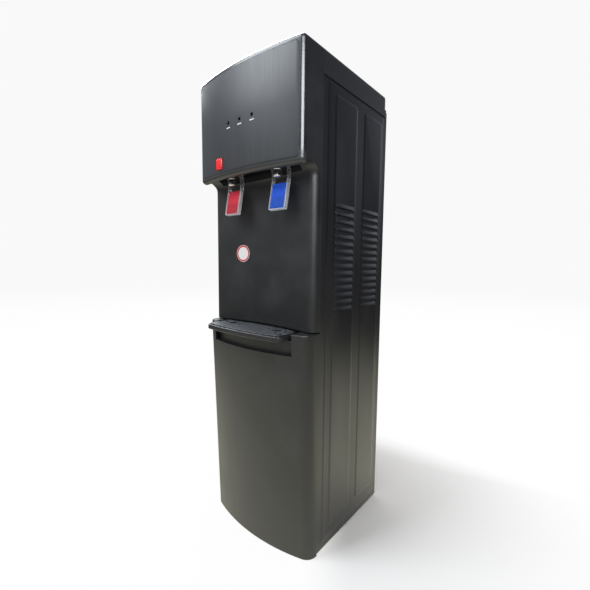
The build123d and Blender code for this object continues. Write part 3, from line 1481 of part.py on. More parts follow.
def rocker(x):
    """Rocker switch, tipped about its pins."""
    with BuildPart() as solid:
        with BuildSketch(Plane.YZ.offset(x - rocker_width / 2)):
            with Locations((rocker_y, switch_z)):
                Rectangle(rocker_depth, rocker_height - 2 * sheet, rotation=rocker_tilt)
        extrude(amount=rocker_width)
        pin_reach = rocker_width / 2 + rocker_pin_length
        rod_x(rocker_y, switch_z, (x - pin_reach, x + pin_reach), rocker_pin_radius)
    return solid.part


with BuildPart() as hot_switch_rocker:
    add(rocker(rocker_places[0]))
finish(hot_switch_rocker, "hot_switch_rocker")

with BuildPart() as cold_switch_rocker:
    add(rocker(rocker_places[1]))
finish(cold_switch_rocker, "cold_switch_rocker")

with BuildPart() as cord_gland:
    rod_y(
        gland_x, gland_z, (rear_sheet_y - switch_frame_depth, outlet_y + switch_frame_depth), gland_radius
    )
    rod_y(gland_x, gland_z, (outlet_y, outlet_y + outlet_flange), outlet_flange_radius)
    rod_y(
        gland_x, gland_z, (rear_sheet_y - switch_body_depth, outlet_end_y), gland_bore_radius,
        Mode.SUBTRACT
    )
finish(cord_gland, "cord_gland")

# Rear panel with its cut-outs, and the screws through the side panels' folds.
with BuildPart() as rear_panel:
    block((-panel_in, panel_in), (rear_sheet_y, outlet_y), (rear_panel_bottom_z, tuck_z))
    for x in (cold_drain_x, hot_drain_x):
        rod_y(x, drain_z, (rear_sheet_y, outlet_y), outlet_radius, Mode.SUBTRACT)
    rod_y(gland_x, gland_z, (rear_sheet_y, outlet_y), gland_radius, Mode.SUBTRACT)
    block((switch_x - body_x, switch_x + body_x), (rear_sheet_y, outlet_y),
          (switch_z - body_z, switch_z + body_z), Mode.SUBTRACT)
finish(rear_panel, "rear_panel")

with BuildPart() as panel_screws:
    screw_x = panel_out - screw_edge
    screw_high_z = cabinet_height - screw_top_drop
    screw_pitch = (screw_high_z - screw_low_z) / (screw_rows - 1)
    screw_middle = (0, rear_y + screw_head / 2, (screw_low_z + screw_high_z) / 2)
    with Locations(Location(screw_middle, (right_angle, 0, 0))):
        with GridLocations(2 * screw_x, screw_pitch, 2, screw_rows):
            Cylinder(screw_radius, screw_head)
    fillet(panel_screws.edges().group_by(Axis.Y)[-1], screw_head / 2)
finish(panel_screws, "panel_screws")
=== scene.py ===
# %% [markdown]
# # A top-loading water dispenser
# This notebook dresses a finished CAD model of a tall black water dispenser for rendering. The
# CAD model is loaded as a fixed frame, in metres: X runs to the right, Y to the rear and Z up,
# with the floor at zero. Pieces whose shape is right keep their mesh and get a real finish.
# Pieces whose real form is softer or finer than the solid, such as a pressed steel side or a
# coiled spring, are modelled here by hand with operators.

# %% Load the frame
import bpy
from math import pi, radians
from mathutils import Euler, Matrix, Vector


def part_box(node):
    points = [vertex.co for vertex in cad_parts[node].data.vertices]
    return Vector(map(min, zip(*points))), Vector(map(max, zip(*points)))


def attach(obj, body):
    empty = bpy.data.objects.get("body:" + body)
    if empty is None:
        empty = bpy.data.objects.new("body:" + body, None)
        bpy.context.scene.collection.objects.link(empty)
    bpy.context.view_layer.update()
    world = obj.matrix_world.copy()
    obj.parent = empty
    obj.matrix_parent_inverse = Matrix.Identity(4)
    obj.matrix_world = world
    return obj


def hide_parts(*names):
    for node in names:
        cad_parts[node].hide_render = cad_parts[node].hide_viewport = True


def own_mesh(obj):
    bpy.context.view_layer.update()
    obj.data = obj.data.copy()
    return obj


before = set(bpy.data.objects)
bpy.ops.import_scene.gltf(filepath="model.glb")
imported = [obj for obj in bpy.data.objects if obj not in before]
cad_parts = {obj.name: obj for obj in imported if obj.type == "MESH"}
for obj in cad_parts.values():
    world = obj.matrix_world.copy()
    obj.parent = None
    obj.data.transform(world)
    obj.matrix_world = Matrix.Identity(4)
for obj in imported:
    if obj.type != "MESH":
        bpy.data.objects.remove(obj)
bpy.ops.object.select_all(action="DESELECT")
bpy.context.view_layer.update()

# %% [markdown]
# ## Camera
# The camera stands close to the cabinet, a little below half height, and looks round its right
# side. A short lens this close makes the near corner lean, which is why the lens length matters
# as much as the place.

# %% Camera
LENS = 21.294
CAMERA_PLACE = (0.5448, -0.6457, 0.6133)
CAMERA_YAW, CAMERA_DIP, CAMERA_ROLL = 39.986, 5.449, 0.529
SENSOR_WIDTH = 36.0
NEAR_LIMIT = 0.01

bpy.ops.object.camera_add(location=CAMERA_PLACE)
camera = bpy.context.object
camera.data.sensor_width = SENSOR_WIDTH
camera.data.sensor_fit = "HORIZONTAL"
camera.data.lens = LENS
camera.data.clip_start = NEAR_LIMIT
turn = Euler((radians(90 - CAMERA_DIP), 0, radians(CAMERA_YAW))).to_matrix()
turn = turn @ Matrix.Rotation(radians(CAMERA_ROLL), 3, "Z")
camera.rotation_euler = turn.to_euler()
bpy.context.scene.camera = camera
bpy.context.scene.view_settings.view_transform = "Standard"

# %% [markdown]
# ## Shader sums
# A procedural finish is a sum of masks: noise here, a gradient there. Writing each Math node by
# hand hides the sum, so one small class lets a socket take part in ordinary Python arithmetic.


# %% A socket that joins in sums
class Mask:
    """A shader value. Each operator adds the Math node that it stands for."""

    def __init__(self, finish, socket):
        self.finish = finish
        self.socket = socket

    def maths(self, operation, first, second=0.0):
        return self.finish.node("ShaderNodeMath", {"operation": operation}, {0: first, 1: second})

    def __add__(self, other):
        return self.maths("ADD", self, other)

    def __radd__(self, other):
        return self.maths("ADD", other, self)

    def __sub__(self, other):
        return self.maths("SUBTRACT", self, other)

    def __rsub__(self, other):
        return self.maths("SUBTRACT", other, self)

    def __mul__(self, other):
        return self.maths("MULTIPLY", self, other)

    def __pow__(self, other):
        return self.maths("POWER", self, other)

    def __gt__(self, other):
        return self.maths("GREATER_THAN", self, other)

    def __lt__(self, other):
        return self.maths("LESS_THAN", self, other)

    def size(self):
        return self.maths("ABSOLUTE", self)

    def least(self, other):
        return self.maths("MINIMUM", self, other)

    def most(self, other):
        return self.maths("MAXIMUM", self, other)


# %% [markdown]
# ## A finish
# Every material here has the same heart: a Principled surface whose colour, roughness and bump
# come from masks on Object coordinates, in metres, so a speck is the same size on every piece.
# Feed joins a value to a socket, and step is a soft threshold. The Mix node has a set of sockets
# for each kind of data, so its colour sockets go by number.

# %% A finish made of masks
MIX_FACTOR, MIX_FIRST, MIX_SECOND, MIX_RESULT = 0, 6, 7, 2


class Finish:
    """A procedural material and the nodes that it is built from."""

    def __init__(self, name):
        self.material = bpy.data.materials.new(name)
        self.start("ShaderNodeBsdfPrincipled", "ShaderNodeOutputMaterial", "Object")

    def start(self, shader, output, coordinates):
        self.material.use_nodes = True
        self.nodes = self.material.node_tree.nodes
        self.links = self.material.node_tree.links
        self.nodes.clear()
        self.shader = self.nodes.new(shader)
        self.end = self.nodes.new(output)
        self.links.new(self.shader.outputs[0], self.end.inputs[0])
        place = self.nodes.new("ShaderNodeTexCoord")
        self.place = Mask(self, place.outputs[coordinates])

    def light_path(self, output):
        return self.node("ShaderNodeLightPath", output=output)

    def feed(self, node, key, value):
        if isinstance(value, Mask):
            self.links.new(value.socket, node.inputs[key])
        else:
            node.inputs[key].default_value = value

    def node(self, kind, settings=None, inputs=None, output=0):
        node = self.nodes.new(kind)
        for key, value in (settings or {}).items():
            setattr(node, key, value)
        for key, value in (inputs or {}).items():
            self.feed(node, key, value)
        return Mask(self, node.outputs[output])

    def set(self, **values):
        for key, value in values.items():
            self.feed(self.shader, key.replace("_", " "), value)

    def axes(self):
        split = self.node("ShaderNodeSeparateXYZ", inputs={0: self.place})
        outputs = split.socket.node.outputs
        return [Mask(self, outputs[k]) for k in range(3)]

    def stretched(self, scale):
        return self.node("ShaderNodeMapping", inputs={"Vector": self.place, "Scale": scale})

    def noise(self, per_metre, detail=2.0, rough=0.5, place=None):
        inputs = {"Vector": place or self.place, "Scale": per_metre}
        inputs.update({"Detail": detail, "Roughness": rough})
        return self.node("ShaderNodeTexNoise", inputs=inputs)

    def cells(self, per_metre):
        return self.node("ShaderNodeTexVoronoi", inputs={"Vector": self.place, "Scale": per_metre})

    def step(self, value, low, high):
        inputs = {"Value": value, "From Min": low, "From Max": high}
        return self.node("ShaderNodeMapRange", {"interpolation_type": "SMOOTHSTEP"}, inputs)

    def blend(self, mask, first, second):
        inputs = {MIX_FACTOR: mask, MIX_FIRST: first, MIX_SECOND: second}
        return self.node("ShaderNodeMix", {"data_type": "RGBA"}, inputs, MIX_RESULT)

    def bump(self, height, strength, distance):
        inputs = {"Height": height, "Strength": strength, "Distance": distance}
        return self.node("ShaderNodeBump", inputs=inputs)


# %% Linear colours
def colour(red, green, blue):
    """A colour from its linear parts, opaque."""
    return (red, green, blue, 1.0)


def grey(level):
    """A neutral colour."""
    return colour(level, level, level)


def scaled(base, factor, lift=0.0):
    """A base colour made darker or paler."""
    return colour(*(part * factor + lift for part in base))


# %% [markdown]
# ## Satin black moulding
# The front, head and cover are injection mouldings in black ABS. Their tools are spark eroded,
# which leaves a very fine even grain, so the plastic has a satin sheen. Handling leaves faint
# smudges, and dust settles on it as pale specks. Fine noise gives the grain, wide noise the
# smudges, and sparse cells the specks. The bezel has a smoother skin with a thin gloss over it,
# apart from its lip under the head, which is matt.

# %% Grain, smudges and dust for plastics
DUST = colour(0.20, 0.20, 0.19)
GRAIN_DEPTH = 0.0002
COAT_ROUGHNESS = 0.16
MATT_FADE = 0.008
NEVER = -1.0


def dust_specks(finish, per_metre, reach, patches, rarity, weight):
    """The cores of small cells, kept only in the patches where a wide noise is high."""
    return (finish.cells(per_metre) < reach) * (finish.noise(patches, detail=1.0) > rarity) * weight


def moulded(
    name,
    base,
    rough=0.38,
    grain=1800.0,
    strength=0.10,
    dust=0.25,
    gloss=0.5,
    clear=0.0,
    matt_below=NEVER,
):
    """A moulded plastic with grain in its surface, faint smudges and a little dust."""
    finish = Finish(name)
    smudge = finish.step(finish.noise(9.0, detail=3.0, rough=0.6), 0.42, 0.68)
    streak = finish.noise(14.0, place=finish.stretched((5.0, 5.0, 0.35)))
    dot = dust_specks(finish, 420.0, reach=0.10, patches=60.0, rarity=0.56, weight=dust)
    tone = finish.blend(smudge, scaled(base, 0.86), scaled(base, 1.10, lift=0.004))
    grains = finish.noise(grain, rough=0.6)
    under = finish.step(finish.axes()[2], matt_below, matt_below - MATT_FADE)
    finish.set(
        Base_Color=finish.blend(dot, tone, DUST),
        Roughness=rough + smudge * 0.05 + streak * 0.06 + dot * 0.2 + under * 0.35,
        Normal=finish.bump(grains, strength, GRAIN_DEPTH),
        Specular_IOR_Level=gloss,
        Coat_Weight=clear,
        Coat_Roughness=COAT_ROUGHNESS,
    )
    return finish.material


# %% The black mouldings of the cabinet
BLACK = (0.014, 0.014, 0.016)
LIP_TOP = 0.812
moulding_black = moulded("satin black moulding", BLACK)
bezel_black = moulded(
    "bezel moulding", BLACK, rough=0.24, strength=0.04, clear=0.5, matt_below=LIP_TOP
)
cover_black = moulded("top cover moulding", (0.019, 0.019, 0.022), rough=0.33)

# %% [markdown]
# ## Control facia
# The facia has a dark blue-grey satin lacquer, paler than the body. Fine upright hairlines run
# through it, so its highlights smear sideways, and a plain pale bar is printed under each of the
# three indicators.

# %% Facia lacquer and its three marks
LENS_RADIUS = 0.004
BAR_DROP = 0.0095
BAR_HALF_WIDTH, BAR_HALF_HEIGHT = 0.0058, 0.0010
lens_low, lens_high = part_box("indicator_lenses")
lens_z = (lens_low.z + lens_high.z) / 2
lens_pitch = lens_high.x - LENS_RADIUS


def lacquer(name, base, rough):
    """Satin lacquer with faint upright hairlines and a plain pale bar under each indicator."""
    finish = Finish(name)
    x, _, z = finish.axes()
    line = finish.noise(260.0, rough=0.6, place=finish.stretched((1.0, 1.0, 0.02)))
    cloud = finish.noise(16.0, detail=3.0, rough=0.6)
    from_lens = (x.size() - lens_pitch).size().least(x.size())
    from_bar = (z - lens_z + BAR_DROP).size()
    bar = (from_lens < BAR_HALF_WIDTH) * (from_bar < BAR_HALF_HEIGHT)
    tone = finish.blend(line, scaled(base, 0.7), scaled(base, 1.3))
    finish.set(
        Base_Color=finish.blend(bar, tone, colour(0.66, 0.68, 0.70)),
        Roughness=rough + (line - 0.5) * 0.22 + cloud * 0.06,
        Normal=finish.bump(line, strength=0.05, distance=0.0001),
    )
    return finish.material


facia_lacquer = lacquer("facia lacquer", (0.020, 0.021, 0.025), rough=0.36)

# %% [markdown]
# ## Powder coat
# The sides are folded steel sheet with a black powder coat. A powder coat cures with a shallow
# orange peel a few millimetres across, which breaks up the reflections more than any colour does.


# %% Orange peel over steel sheet
def powder_coat(name, base, rough=0.30):
    """Powder coated sheet: orange peel, wipe marks and a little dust."""
    finish = Finish(name)
    peel = finish.noise(420.0)
    wipe = finish.noise(11.0, detail=3.0, rough=0.6, place=finish.stretched((1.0, 1.0, 0.3)))
    wipe = finish.step(wipe, 0.4, 0.7)
    dot = dust_specks(finish, 380.0, reach=0.08, patches=50.0, rarity=0.58, weight=0.25)
    tone = finish.blend(wipe, colour(*base), scaled(base, 1.25, lift=0.003))
    finish.set(
        Base_Color=finish.blend(dot, tone, DUST),
        Roughness=rough + wipe * 0.08 + dot * 0.2,
        Normal=finish.bump(peel, strength=0.10, distance=0.0004),
    )
    return finish.material


side_coat = powder_coat("black powder coat", (0.008, 0.008, 0.010))
condenser_enamel = powder_coat("condenser enamel", (0.012, 0.012, 0.012), rough=0.42)
compressor_enamel = powder_coat("compressor enamel", (0.012, 0.012, 0.013), rough=0.28)

# %% [markdown]
# ## Metals
# Zinc plated sheet shows crystals, the spangle, as patches of slightly different grey. Stainless
# steel and drawn copper are finer. Chrome has no colour of its own: it shows the room.


# %% Bare metals
def sheet_metal(name, base, rough, spangle=0.0, line=0.0):
    """A bare metal with an optional spangle or a fine drawn line."""
    finish = Finish(name)
    crystal = finish.cells(160.0) * spangle
    cloud = finish.noise(18.0, detail=3.0)
    fine = finish.noise(300.0, place=finish.stretched((1.0, 1.0, 0.08)))
    shade = finish.step(crystal + cloud * 0.3, 0.0, 1.0)
    finish.set(
        Base_Color=finish.blend(shade, colour(*base), scaled(base, 0.72)),
        Metallic=1.0,
        Roughness=rough + crystal * 0.2 + fine * line,
        Normal=finish.bump(fine + crystal, strength=0.05, distance=0.0003),
    )
    return finish.material


zinc_sheet = sheet_metal("zinc plated sheet", (0.52, 0.53, 0.54), rough=0.34, spangle=0.5)
stainless = sheet_metal("stainless steel", (0.60, 0.60, 0.59), rough=0.26, line=0.15)
spring_wire = sheet_metal("spring wire", (0.46, 0.46, 0.47), rough=0.30, line=0.1)
copper_tube = sheet_metal("drawn copper", (0.72, 0.34, 0.20), rough=0.30, line=0.15)
chrome = sheet_metal("bright chrome", (0.86, 0.86, 0.88), rough=0.16, line=0.05)

# %% [markdown]
# ## Small mouldings
# The lock button is glossy red, and the lever inserts are a duller crimson and blue. The parts
# inside the cabinet have the plain plastics and rubbers of their kind.

# %% Coloured plastics, rubbers and foam
INSERT_SKIN = {"rough": 0.45, "strength": 0.06, "dust": 0.1, "gloss": 0.2}
button_red = moulded("lock button red", (0.85, 0.008, 0.014), rough=0.22, strength=0.03, dust=0.1)
insert_red = moulded("hot insert crimson", (0.70, 0.018, 0.05), **INSERT_SKIN)
insert_blue = moulded("cold insert blue", (0.002, 0.13, 0.86), **INSERT_SKIN)
dark_inner = moulded("dark inner plastic", (0.030, 0.030, 0.033), rough=0.5)
valve_black = moulded("valve plastic", (0.022, 0.022, 0.024), rough=0.45)
switch_green = moulded("switch green", (0.012, 0.30, 0.06), rough=0.25, strength=0.03)
lens_dark = moulded("indicator lens", (0.006, 0.006, 0.008), rough=0.12, strength=0.02, dust=0.0)
board_green = moulded("indicator board", (0.015, 0.10, 0.04), rough=0.4)
rubber_black = moulded(
    "black rubber", (0.020, 0.020, 0.020), rough=0.72, grain=900.0, strength=0.25
)
silicone = moulded("pale silicone", (0.70, 0.69, 0.66), rough=0.5, dust=0.1)
foam = moulded("tank foam", (0.62, 0.60, 0.54), rough=0.85, grain=500.0, strength=0.6, dust=0.0)

# %% [markdown]
# ## Pebbled grille
# The drip grille has a coarse pebble grain. Its colour is pale on the pebble tops, a painted
# highlight, and dark in the valleys, painted shade. The colour drops to black a little below the
# top face, which is painted shade on the walls of its drains.

# %% Pebbled grille, with a painted highlight on its pebbles and painted shade in its drains
PEBBLE_VALLEY_SHADE, PEBBLE_TOP_GLINT = colour(0.008, 0.008, 0.010), colour(0.20, 0.21, 0.235)
DRAIN_SHADE_FROM, DRAIN_SHADE_AT = 0.0004, 0.0010


def pebbled(name, top):
    """Pebbled plastic: painted highlights on the tops, painted shade in the valleys and drains."""
    finish = Finish(name)
    pebble = finish.step(finish.noise(300.0, rough=0.6), 0.47, 0.60)
    # painted shade: the colour goes black on the drain walls, a little below the top face
    inside = finish.step(finish.axes()[2], top - DRAIN_SHADE_FROM, top - DRAIN_SHADE_AT)
    # painted light: the pebble tops are pale as a highlight, and the valleys dark as shade
    tone = finish.blend(pebble, PEBBLE_VALLEY_SHADE, PEBBLE_TOP_GLINT)
    finish.set(
        Base_Color=finish.blend(inside, tone, grey(0.001)),
        Roughness=0.30 + pebble * 0.2 + inside * 0.5,
        Normal=finish.bump(pebble, strength=0.9, distance=0.0006),
    )
    return finish.material


grille_pebble = pebbled("pebbled grille plastic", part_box("drip_grille")[1].z)

# %% [markdown]
# ## Clear levers
# The levers are clear acrylic. Where a lever is backed by its coloured insert the plastic is
# nearly unseen, and round the insert its frame is a milky border, a painted highlight for the
# light caught in its clear edges. The mask for that border comes from the insert's own box.

# %% Clear acrylic
FRAME_SOFT = 0.0005
ARM_FROM, ARM_AT = 0.002, 0.012


def clear_acrylic():
    """Clear moulded acrylic with a light haze of wipe marks and a painted highlight on its edges.
    """
    finish = Finish("clear acrylic")
    x, _, z = finish.axes()
    low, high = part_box("cold_lever_insert")
    across = x.size()
    outer = finish.step(across, high.x - FRAME_SOFT, high.x + FRAME_SOFT)
    inner = finish.step(across, low.x + FRAME_SOFT, low.x - FRAME_SOFT)
    below = finish.step(z, low.z + FRAME_SOFT, low.z - FRAME_SOFT)
    arm = finish.step(z, high.z + ARM_FROM, high.z + ARM_AT)
    # edge: the milky frame round the insert, a painted highlight for light caught in the clear
    # edges
    edge = outer.most(inner).most(below) * (1.0 - arm * 0.7)
    haze = finish.step(finish.noise(40.0, detail=3.0, rough=0.6), 0.35, 0.75)
    finish.set(
        Base_Color=finish.blend(haze, colour(0.93, 0.95, 0.97), colour(0.86, 0.89, 0.92)),
        Roughness=0.04 + haze * 0.08,
        Normal=finish.bump(finish.noise(160.0), strength=0.04, distance=0.0003),
        IOR=1.49,
        Transmission_Weight=0.5,
        Alpha=0.02 + edge * 0.60,
    )
    return finish.material


acrylic = clear_acrylic()

# %% [markdown]
# ## The round label
# A plain white paper disc with a red border sits on the front wall, below the taps. The border
# follows the distance from the disc's centre, so it is part of the finish and needs no extra
# piece.

# %% White paper with a red border
RING_START, RING_END, RING_SOFT = 0.76, 0.95, 0.02
PAPER, PRINT_RED = colour(0.66, 0.64, 0.64), colour(0.50, 0.015, 0.02)


def label_paper(centre, radius):
    """Matt white paper with a red ring inside its edge."""
    finish = Finish("label paper")
    x, _, z = finish.axes()
    across = x - centre.x
    up = z - centre.z
    reach = (across * across + up * up) ** 0.5
    start, end = radius * RING_START, radius * RING_END
    soft = radius * RING_SOFT
    ring = finish.step(reach, start, start + soft) - finish.step(reach, end, end + soft)
    fibre = finish.noise(900.0, detail=3.0, rough=0.6)
    finish.set(
        Base_Color=finish.blend(ring, PAPER, PRINT_RED),
        Roughness=0.45 + fibre * 0.1,
        Normal=finish.bump(fibre, strength=0.06, distance=0.0002),
    )
    return finish.material


label_low, label_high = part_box("round_label")
label_centre = (label_low + label_high) / 2
label_white = label_paper(label_centre, (label_high.x - label_low.x) / 2)

# %% [markdown]
# ## Give each CAD node its finish
# A CAD node keeps its mesh and gets one material. The table reads like a bill of materials.

# %% Finishes by node
FINISHES = {
    bezel_black: ("head_bezel",),
    moulding_black: ("upper_front_housing", "lower_front_panel", "drip_tray"),
    cover_black: ("top_cover",),
    facia_lacquer: ("control_facia",),
    side_coat: ("left_side_panel", "right_side_panel"),
    condenser_enamel: ("condenser",),
    compressor_enamel: ("compressor",),
    zinc_sheet: ("base_plate", "rear_panel", "tank_shelf", "condenser_brackets"),
    stainless: ("cold_tank", "hot_tank", "heater_band", "lever_pivot_pins"),
    spring_wire: ("hot_tap_spring", "cold_tap_spring", "lock_button_spring"),
    copper_tube: ("evaporator_coil", "filter_drier", "refrigerant_tubes"),
    chrome: ("tap_nozzles", "panel_screws"),
    grille_pebble: ("drip_grille",),
    button_red: ("hot_lock_button", "hot_switch_rocker"),
    insert_red: ("hot_lever_insert",),
    insert_blue: ("cold_lever_insert",),
    acrylic: ("hot_tap_lever", "cold_tap_lever"),
    dark_inner: ("bottle_seat", "tank_baffle"),
    valve_black: (
        "hot_tap_body", "cold_tap_body", "hot_tap_plunger", "cold_tap_plunger", "tap_bonnets",
        "tap_nuts", "tank_thermostats", "drain_outlets", "hot_drain_cap", "cold_drain_cap",
        "switch_frame",
    ),
    switch_green: ("cold_switch_rocker",),
    lens_dark: ("indicator_lenses",),
    board_green: ("indicator_board",),
    rubber_black: ("rubber_feet", "compressor_grommets", "cord_gland"),
    silicone: ("seat_gasket", "transfer_pipe", "tap_hoses", "drain_hoses"),
    foam: ("cold_tank_jacket", "hot_tank_jacket"),
    label_white: ("round_label",),
}
for finish, names in FINISHES.items():
    for name in names:
        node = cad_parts[name]
        node.data.materials.clear()
        node.data.materials.append(finish)
bare = set(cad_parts) - {name for names in FINISHES.values() for name in names}
print("nodes", len(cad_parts), "without a finish", sorted(bare))

# %% [markdown]
# ## Working by hand in edit mode
# Each piece below starts as a primitive and is shaped in edit mode, as at the screen. Operators
# act on what is selected, so small helpers do what a hand does: name the fresh piece, pick faces
# or edges by place, settle the piece with its origin at the centre of the frame, apply a
# modifier, and copy, join or mirror.

# %% Start, pick and settle
CLOSE = 0.0001
MERGE = 0.00001
QUARTER_TURN = pi / 2


def everywhere(centre, normal):
    """A test that every face passes."""
    return True


def take(name, finish):
    """Name the fresh primitive and give it its finish."""
    piece = bpy.context.object
    piece.name = name
    piece.data.materials.append(finish)
    return piece


def drop_selection(kind):
    """Select nothing, with faces or edges as what is picked next."""
    bpy.ops.object.mode_set(mode="EDIT")
    bpy.ops.mesh.select_mode(type=kind)
    bpy.ops.mesh.select_all(action="DESELECT")
    bpy.ops.object.mode_set(mode="OBJECT")


def pick_faces(piece, test):
    """Select the faces whose centre and normal pass the test, and stay in edit mode."""
    drop_selection("FACE")
    for face in piece.data.polygons:
        face.select = bool(test(face.center, face.normal))
    bpy.ops.object.mode_set(mode="EDIT")


def pick_edges(piece, test):
    """Select the edges whose two ends pass the test, and stay in edit mode."""
    drop_selection("EDGE")
    points = [point.co for point in piece.data.vertices]
    for edge in piece.data.edges:
        edge.select = bool(test(points[edge.vertices[0]], points[edge.vertices[1]]))
    bpy.ops.object.mode_set(mode="EDIT")


def settle(piece):
    """Put the origin at the centre of the frame, with the piece's place in its mesh."""
    if bpy.context.object and bpy.context.object.mode == "EDIT":
        bpy.ops.object.mode_set(mode="OBJECT")
    bpy.ops.object.select_all(action="DESELECT")
    piece.select_set(True)
    bpy.context.view_layer.objects.active = piece
    bpy.ops.object.transform_apply(location=True, rotation=True, scale=True)
    return piece


def apply_modifier(piece, kind, **values):
    """Add a modifier with these values and apply it."""
    settle(piece)
    modifier = piece.modifiers.new(kind.lower(), kind)
    for key, value in values.items():
        setattr(modifier, key, value)
    bpy.ops.object.modifier_apply(modifier=modifier.name)


def outward(piece, angle):
    """Point the faces outwards and smooth the edges flatter than the angle, in degrees."""
    settle(piece)
    bpy.ops.object.mode_set(mode="EDIT")
    bpy.ops.mesh.select_all(action="SELECT")
    bpy.ops.mesh.remove_doubles(threshold=MERGE)
    bpy.ops.mesh.normals_make_consistent(inside=False)
    bpy.ops.object.mode_set(mode="OBJECT")
    bpy.ops.object.shade_smooth_by_angle(angle=radians(angle))


def softened(piece, width, steps, angle):
    """Round the edges that are sharper than the angle, in degrees."""
    limit = {"limit_method": "ANGLE", "angle_limit": radians(angle)}
    apply_modifier(piece, "BEVEL", width=width, segments=steps, **limit)


def cut(piece, test, axis, level):
    """Cut the picked faces across X, Y or Z (0, 1 or 2) at a level."""
    place, across = [0, 0, 0], [0, 0, 0]
    place[axis], across[axis] = level, 1
    pick_faces(piece, test)
    bpy.ops.mesh.bisect(plane_co=place, plane_no=across)


def copy_of(piece, name, move=(0, 0, 0)):
    """A copy with its own mesh, moved in its mesh."""
    twin = piece.copy()
    twin.data = piece.data.copy()
    twin.name = name
    bpy.context.collection.objects.link(twin)
    twin.location = move
    return settle(twin)


def joined(pieces, name):
    """Join pieces into the first one."""
    bpy.ops.object.select_all(action="DESELECT")
    for piece in pieces:
        piece.select_set(True)
    bpy.context.view_layer.objects.active = pieces[0]
    bpy.ops.object.join()
    pieces[0].name = name
    return pieces[0]


def mirrored(piece, name):
    """The piece's twin on the other side of the middle."""
    twin = copy_of(piece, name)
    twin.scale = (-1, 1, 1)
    settle(twin)
    bpy.ops.object.mode_set(mode="EDIT")
    bpy.ops.mesh.select_all(action="SELECT")
    bpy.ops.mesh.flip_normals()
    bpy.ops.object.mode_set(mode="OBJECT")
    return twin


# %% [markdown]
# ## Pressed steel sides
# Each side is one folded sheet. A press has raised the middle a millimetre inside a plain margin,
# and raised two tall fields inside that, with soft ramps that catch the light along their tops
# and rear edges. Fifteen louvres are lanced in each field, and their hoods root a little under
# the field's face. The sheet starts as a plane. Each inset with a little depth is part of a ramp,
# and three of them, shallow, steep and shallow, make its S shape.

# %% The right side's sheet
MARGIN = 0.0152
MIDDLE_RISE, FIELD_RISE = 0.0010, 0.0012
LOUVRE_ROOT, LOUVRE_REACH = 0.0016, 0.0042
FIELDS_FROM_FRONT = (0.0370, 0.1230), (0.1500, 0.2350)
FIELD_LOW, FIELD_HIGH = 0.047, 0.937
LOUVRES_FROM_FRONT = (0.0440, 0.1135), (0.1540, 0.2235)
LOUVRES = 15
LOUVRE_TOP, LOUVRE_PITCH, LOUVRE_DROP = 0.731, 0.01506, 0.009
RAMP_PARTS = (0.35, 0.14), (0.30, 0.72), (0.35, 0.14)

side_low, side_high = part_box("right_side_panel")
front_y, back_y = side_low.y, side_high.y
middle_y, middle_z = (front_y + back_y) / 2, (side_low.z + side_high.z) / 2
face_x = side_high.x - LOUVRE_REACH - LOUVRE_ROOT
fields = [(front_y + start, front_y + end) for start, end in FIELDS_FROM_FRONT]
louvre_spans = [(front_y + start, front_y + end) for start, end in LOUVRES_FROM_FRONT]

bpy.ops.mesh.primitive_plane_add(size=1.0, rotation=(0, QUARTER_TURN, 0))
skin = take("right_side_sheet", side_coat)
skin.location = (face_x, middle_y, middle_z)
skin.scale = (side_high.z - side_low.z, back_y - front_y, 1)
settle(skin)


def raise_face(test, corner, ramp, rise):
    """Round the corners of the picked face and press it out over a ramp."""
    pick_faces(skin, test)
    bpy.ops.mesh.bevel(offset=corner, offset_type="OFFSET", segments=5, affect="VERTICES")
    pick_faces(skin, test)
    for width_share, rise_share in RAMP_PARTS:
        bpy.ops.mesh.inset(thickness=ramp * width_share, depth=rise * rise_share)


def is_middle(centre, normal):
    return abs(centre.y - middle_y) < 0.002 and abs(centre.z - middle_z) < 0.01


pick_faces(skin, everywhere)
bpy.ops.mesh.inset(thickness=MARGIN, depth=0.0)
raise_face(is_middle, corner=0.006, ramp=0.004, rise=MIDDLE_RISE)


# %% Two raised fields
def is_inside(centre, normal):
    return front_y + 0.03 < centre.y < back_y - 0.02


for edge in [*fields[0], *fields[1]]:
    cut(skin, is_inside, 1, edge)
for edge in (FIELD_LOW, FIELD_HIGH):
    cut(skin, is_inside, 2, edge)
for low_y, high_y in fields:
    def is_field(centre, normal):
        return low_y < centre.y < high_y and abs(centre.z - (FIELD_LOW + FIELD_HIGH) / 2) < 0.05

    raise_face(is_field, corner=0.009, ramp=0.0055, rise=FIELD_RISE)
bpy.ops.object.mode_set(mode="OBJECT")
print("side sheet faces", len(skin.data.polygons), skin.dimensions)

# %% Slots behind the louvres
SLOT_HEIGHT, SLOT_INSET = 0.0065, 0.001
root_x = face_x + LOUVRE_ROOT
first_z = LOUVRE_TOP - LOUVRE_DROP
bottoms = [first_z - row * LOUVRE_PITCH for row in range(LOUVRES)]
for low_y, high_y in louvre_spans:
    def on_top(centre, normal):
        in_field = low_y - 0.01 < centre.y < high_y + 0.016
        return in_field and normal.x > 0.999 and centre.x > root_x - CLOSE

    for edge in (low_y + SLOT_INSET, high_y - SLOT_INSET):
        cut(skin, on_top, 1, edge)
    for bottom in bottoms:
        for edge in (bottom, bottom + SLOT_HEIGHT):
            cut(skin, on_top, 2, edge)


def is_slot(centre, normal):
    across = any(low_y < centre.y < high_y for low_y, high_y in louvre_spans)
    beside = any(abs(centre.z - bottom - SLOT_HEIGHT / 2) < 0.001 for bottom in bottoms)
    narrow = any(abs(centre.y - (low_y + high_y) / 2) < 0.03 for low_y, high_y in louvre_spans)
    return across and beside and narrow and centre.x > root_x - CLOSE


pick_faces(skin, is_slot)
bpy.ops.mesh.delete(type="FACE")
bpy.ops.object.mode_set(mode="OBJECT")
print("side sheet faces", len(skin.data.polygons))

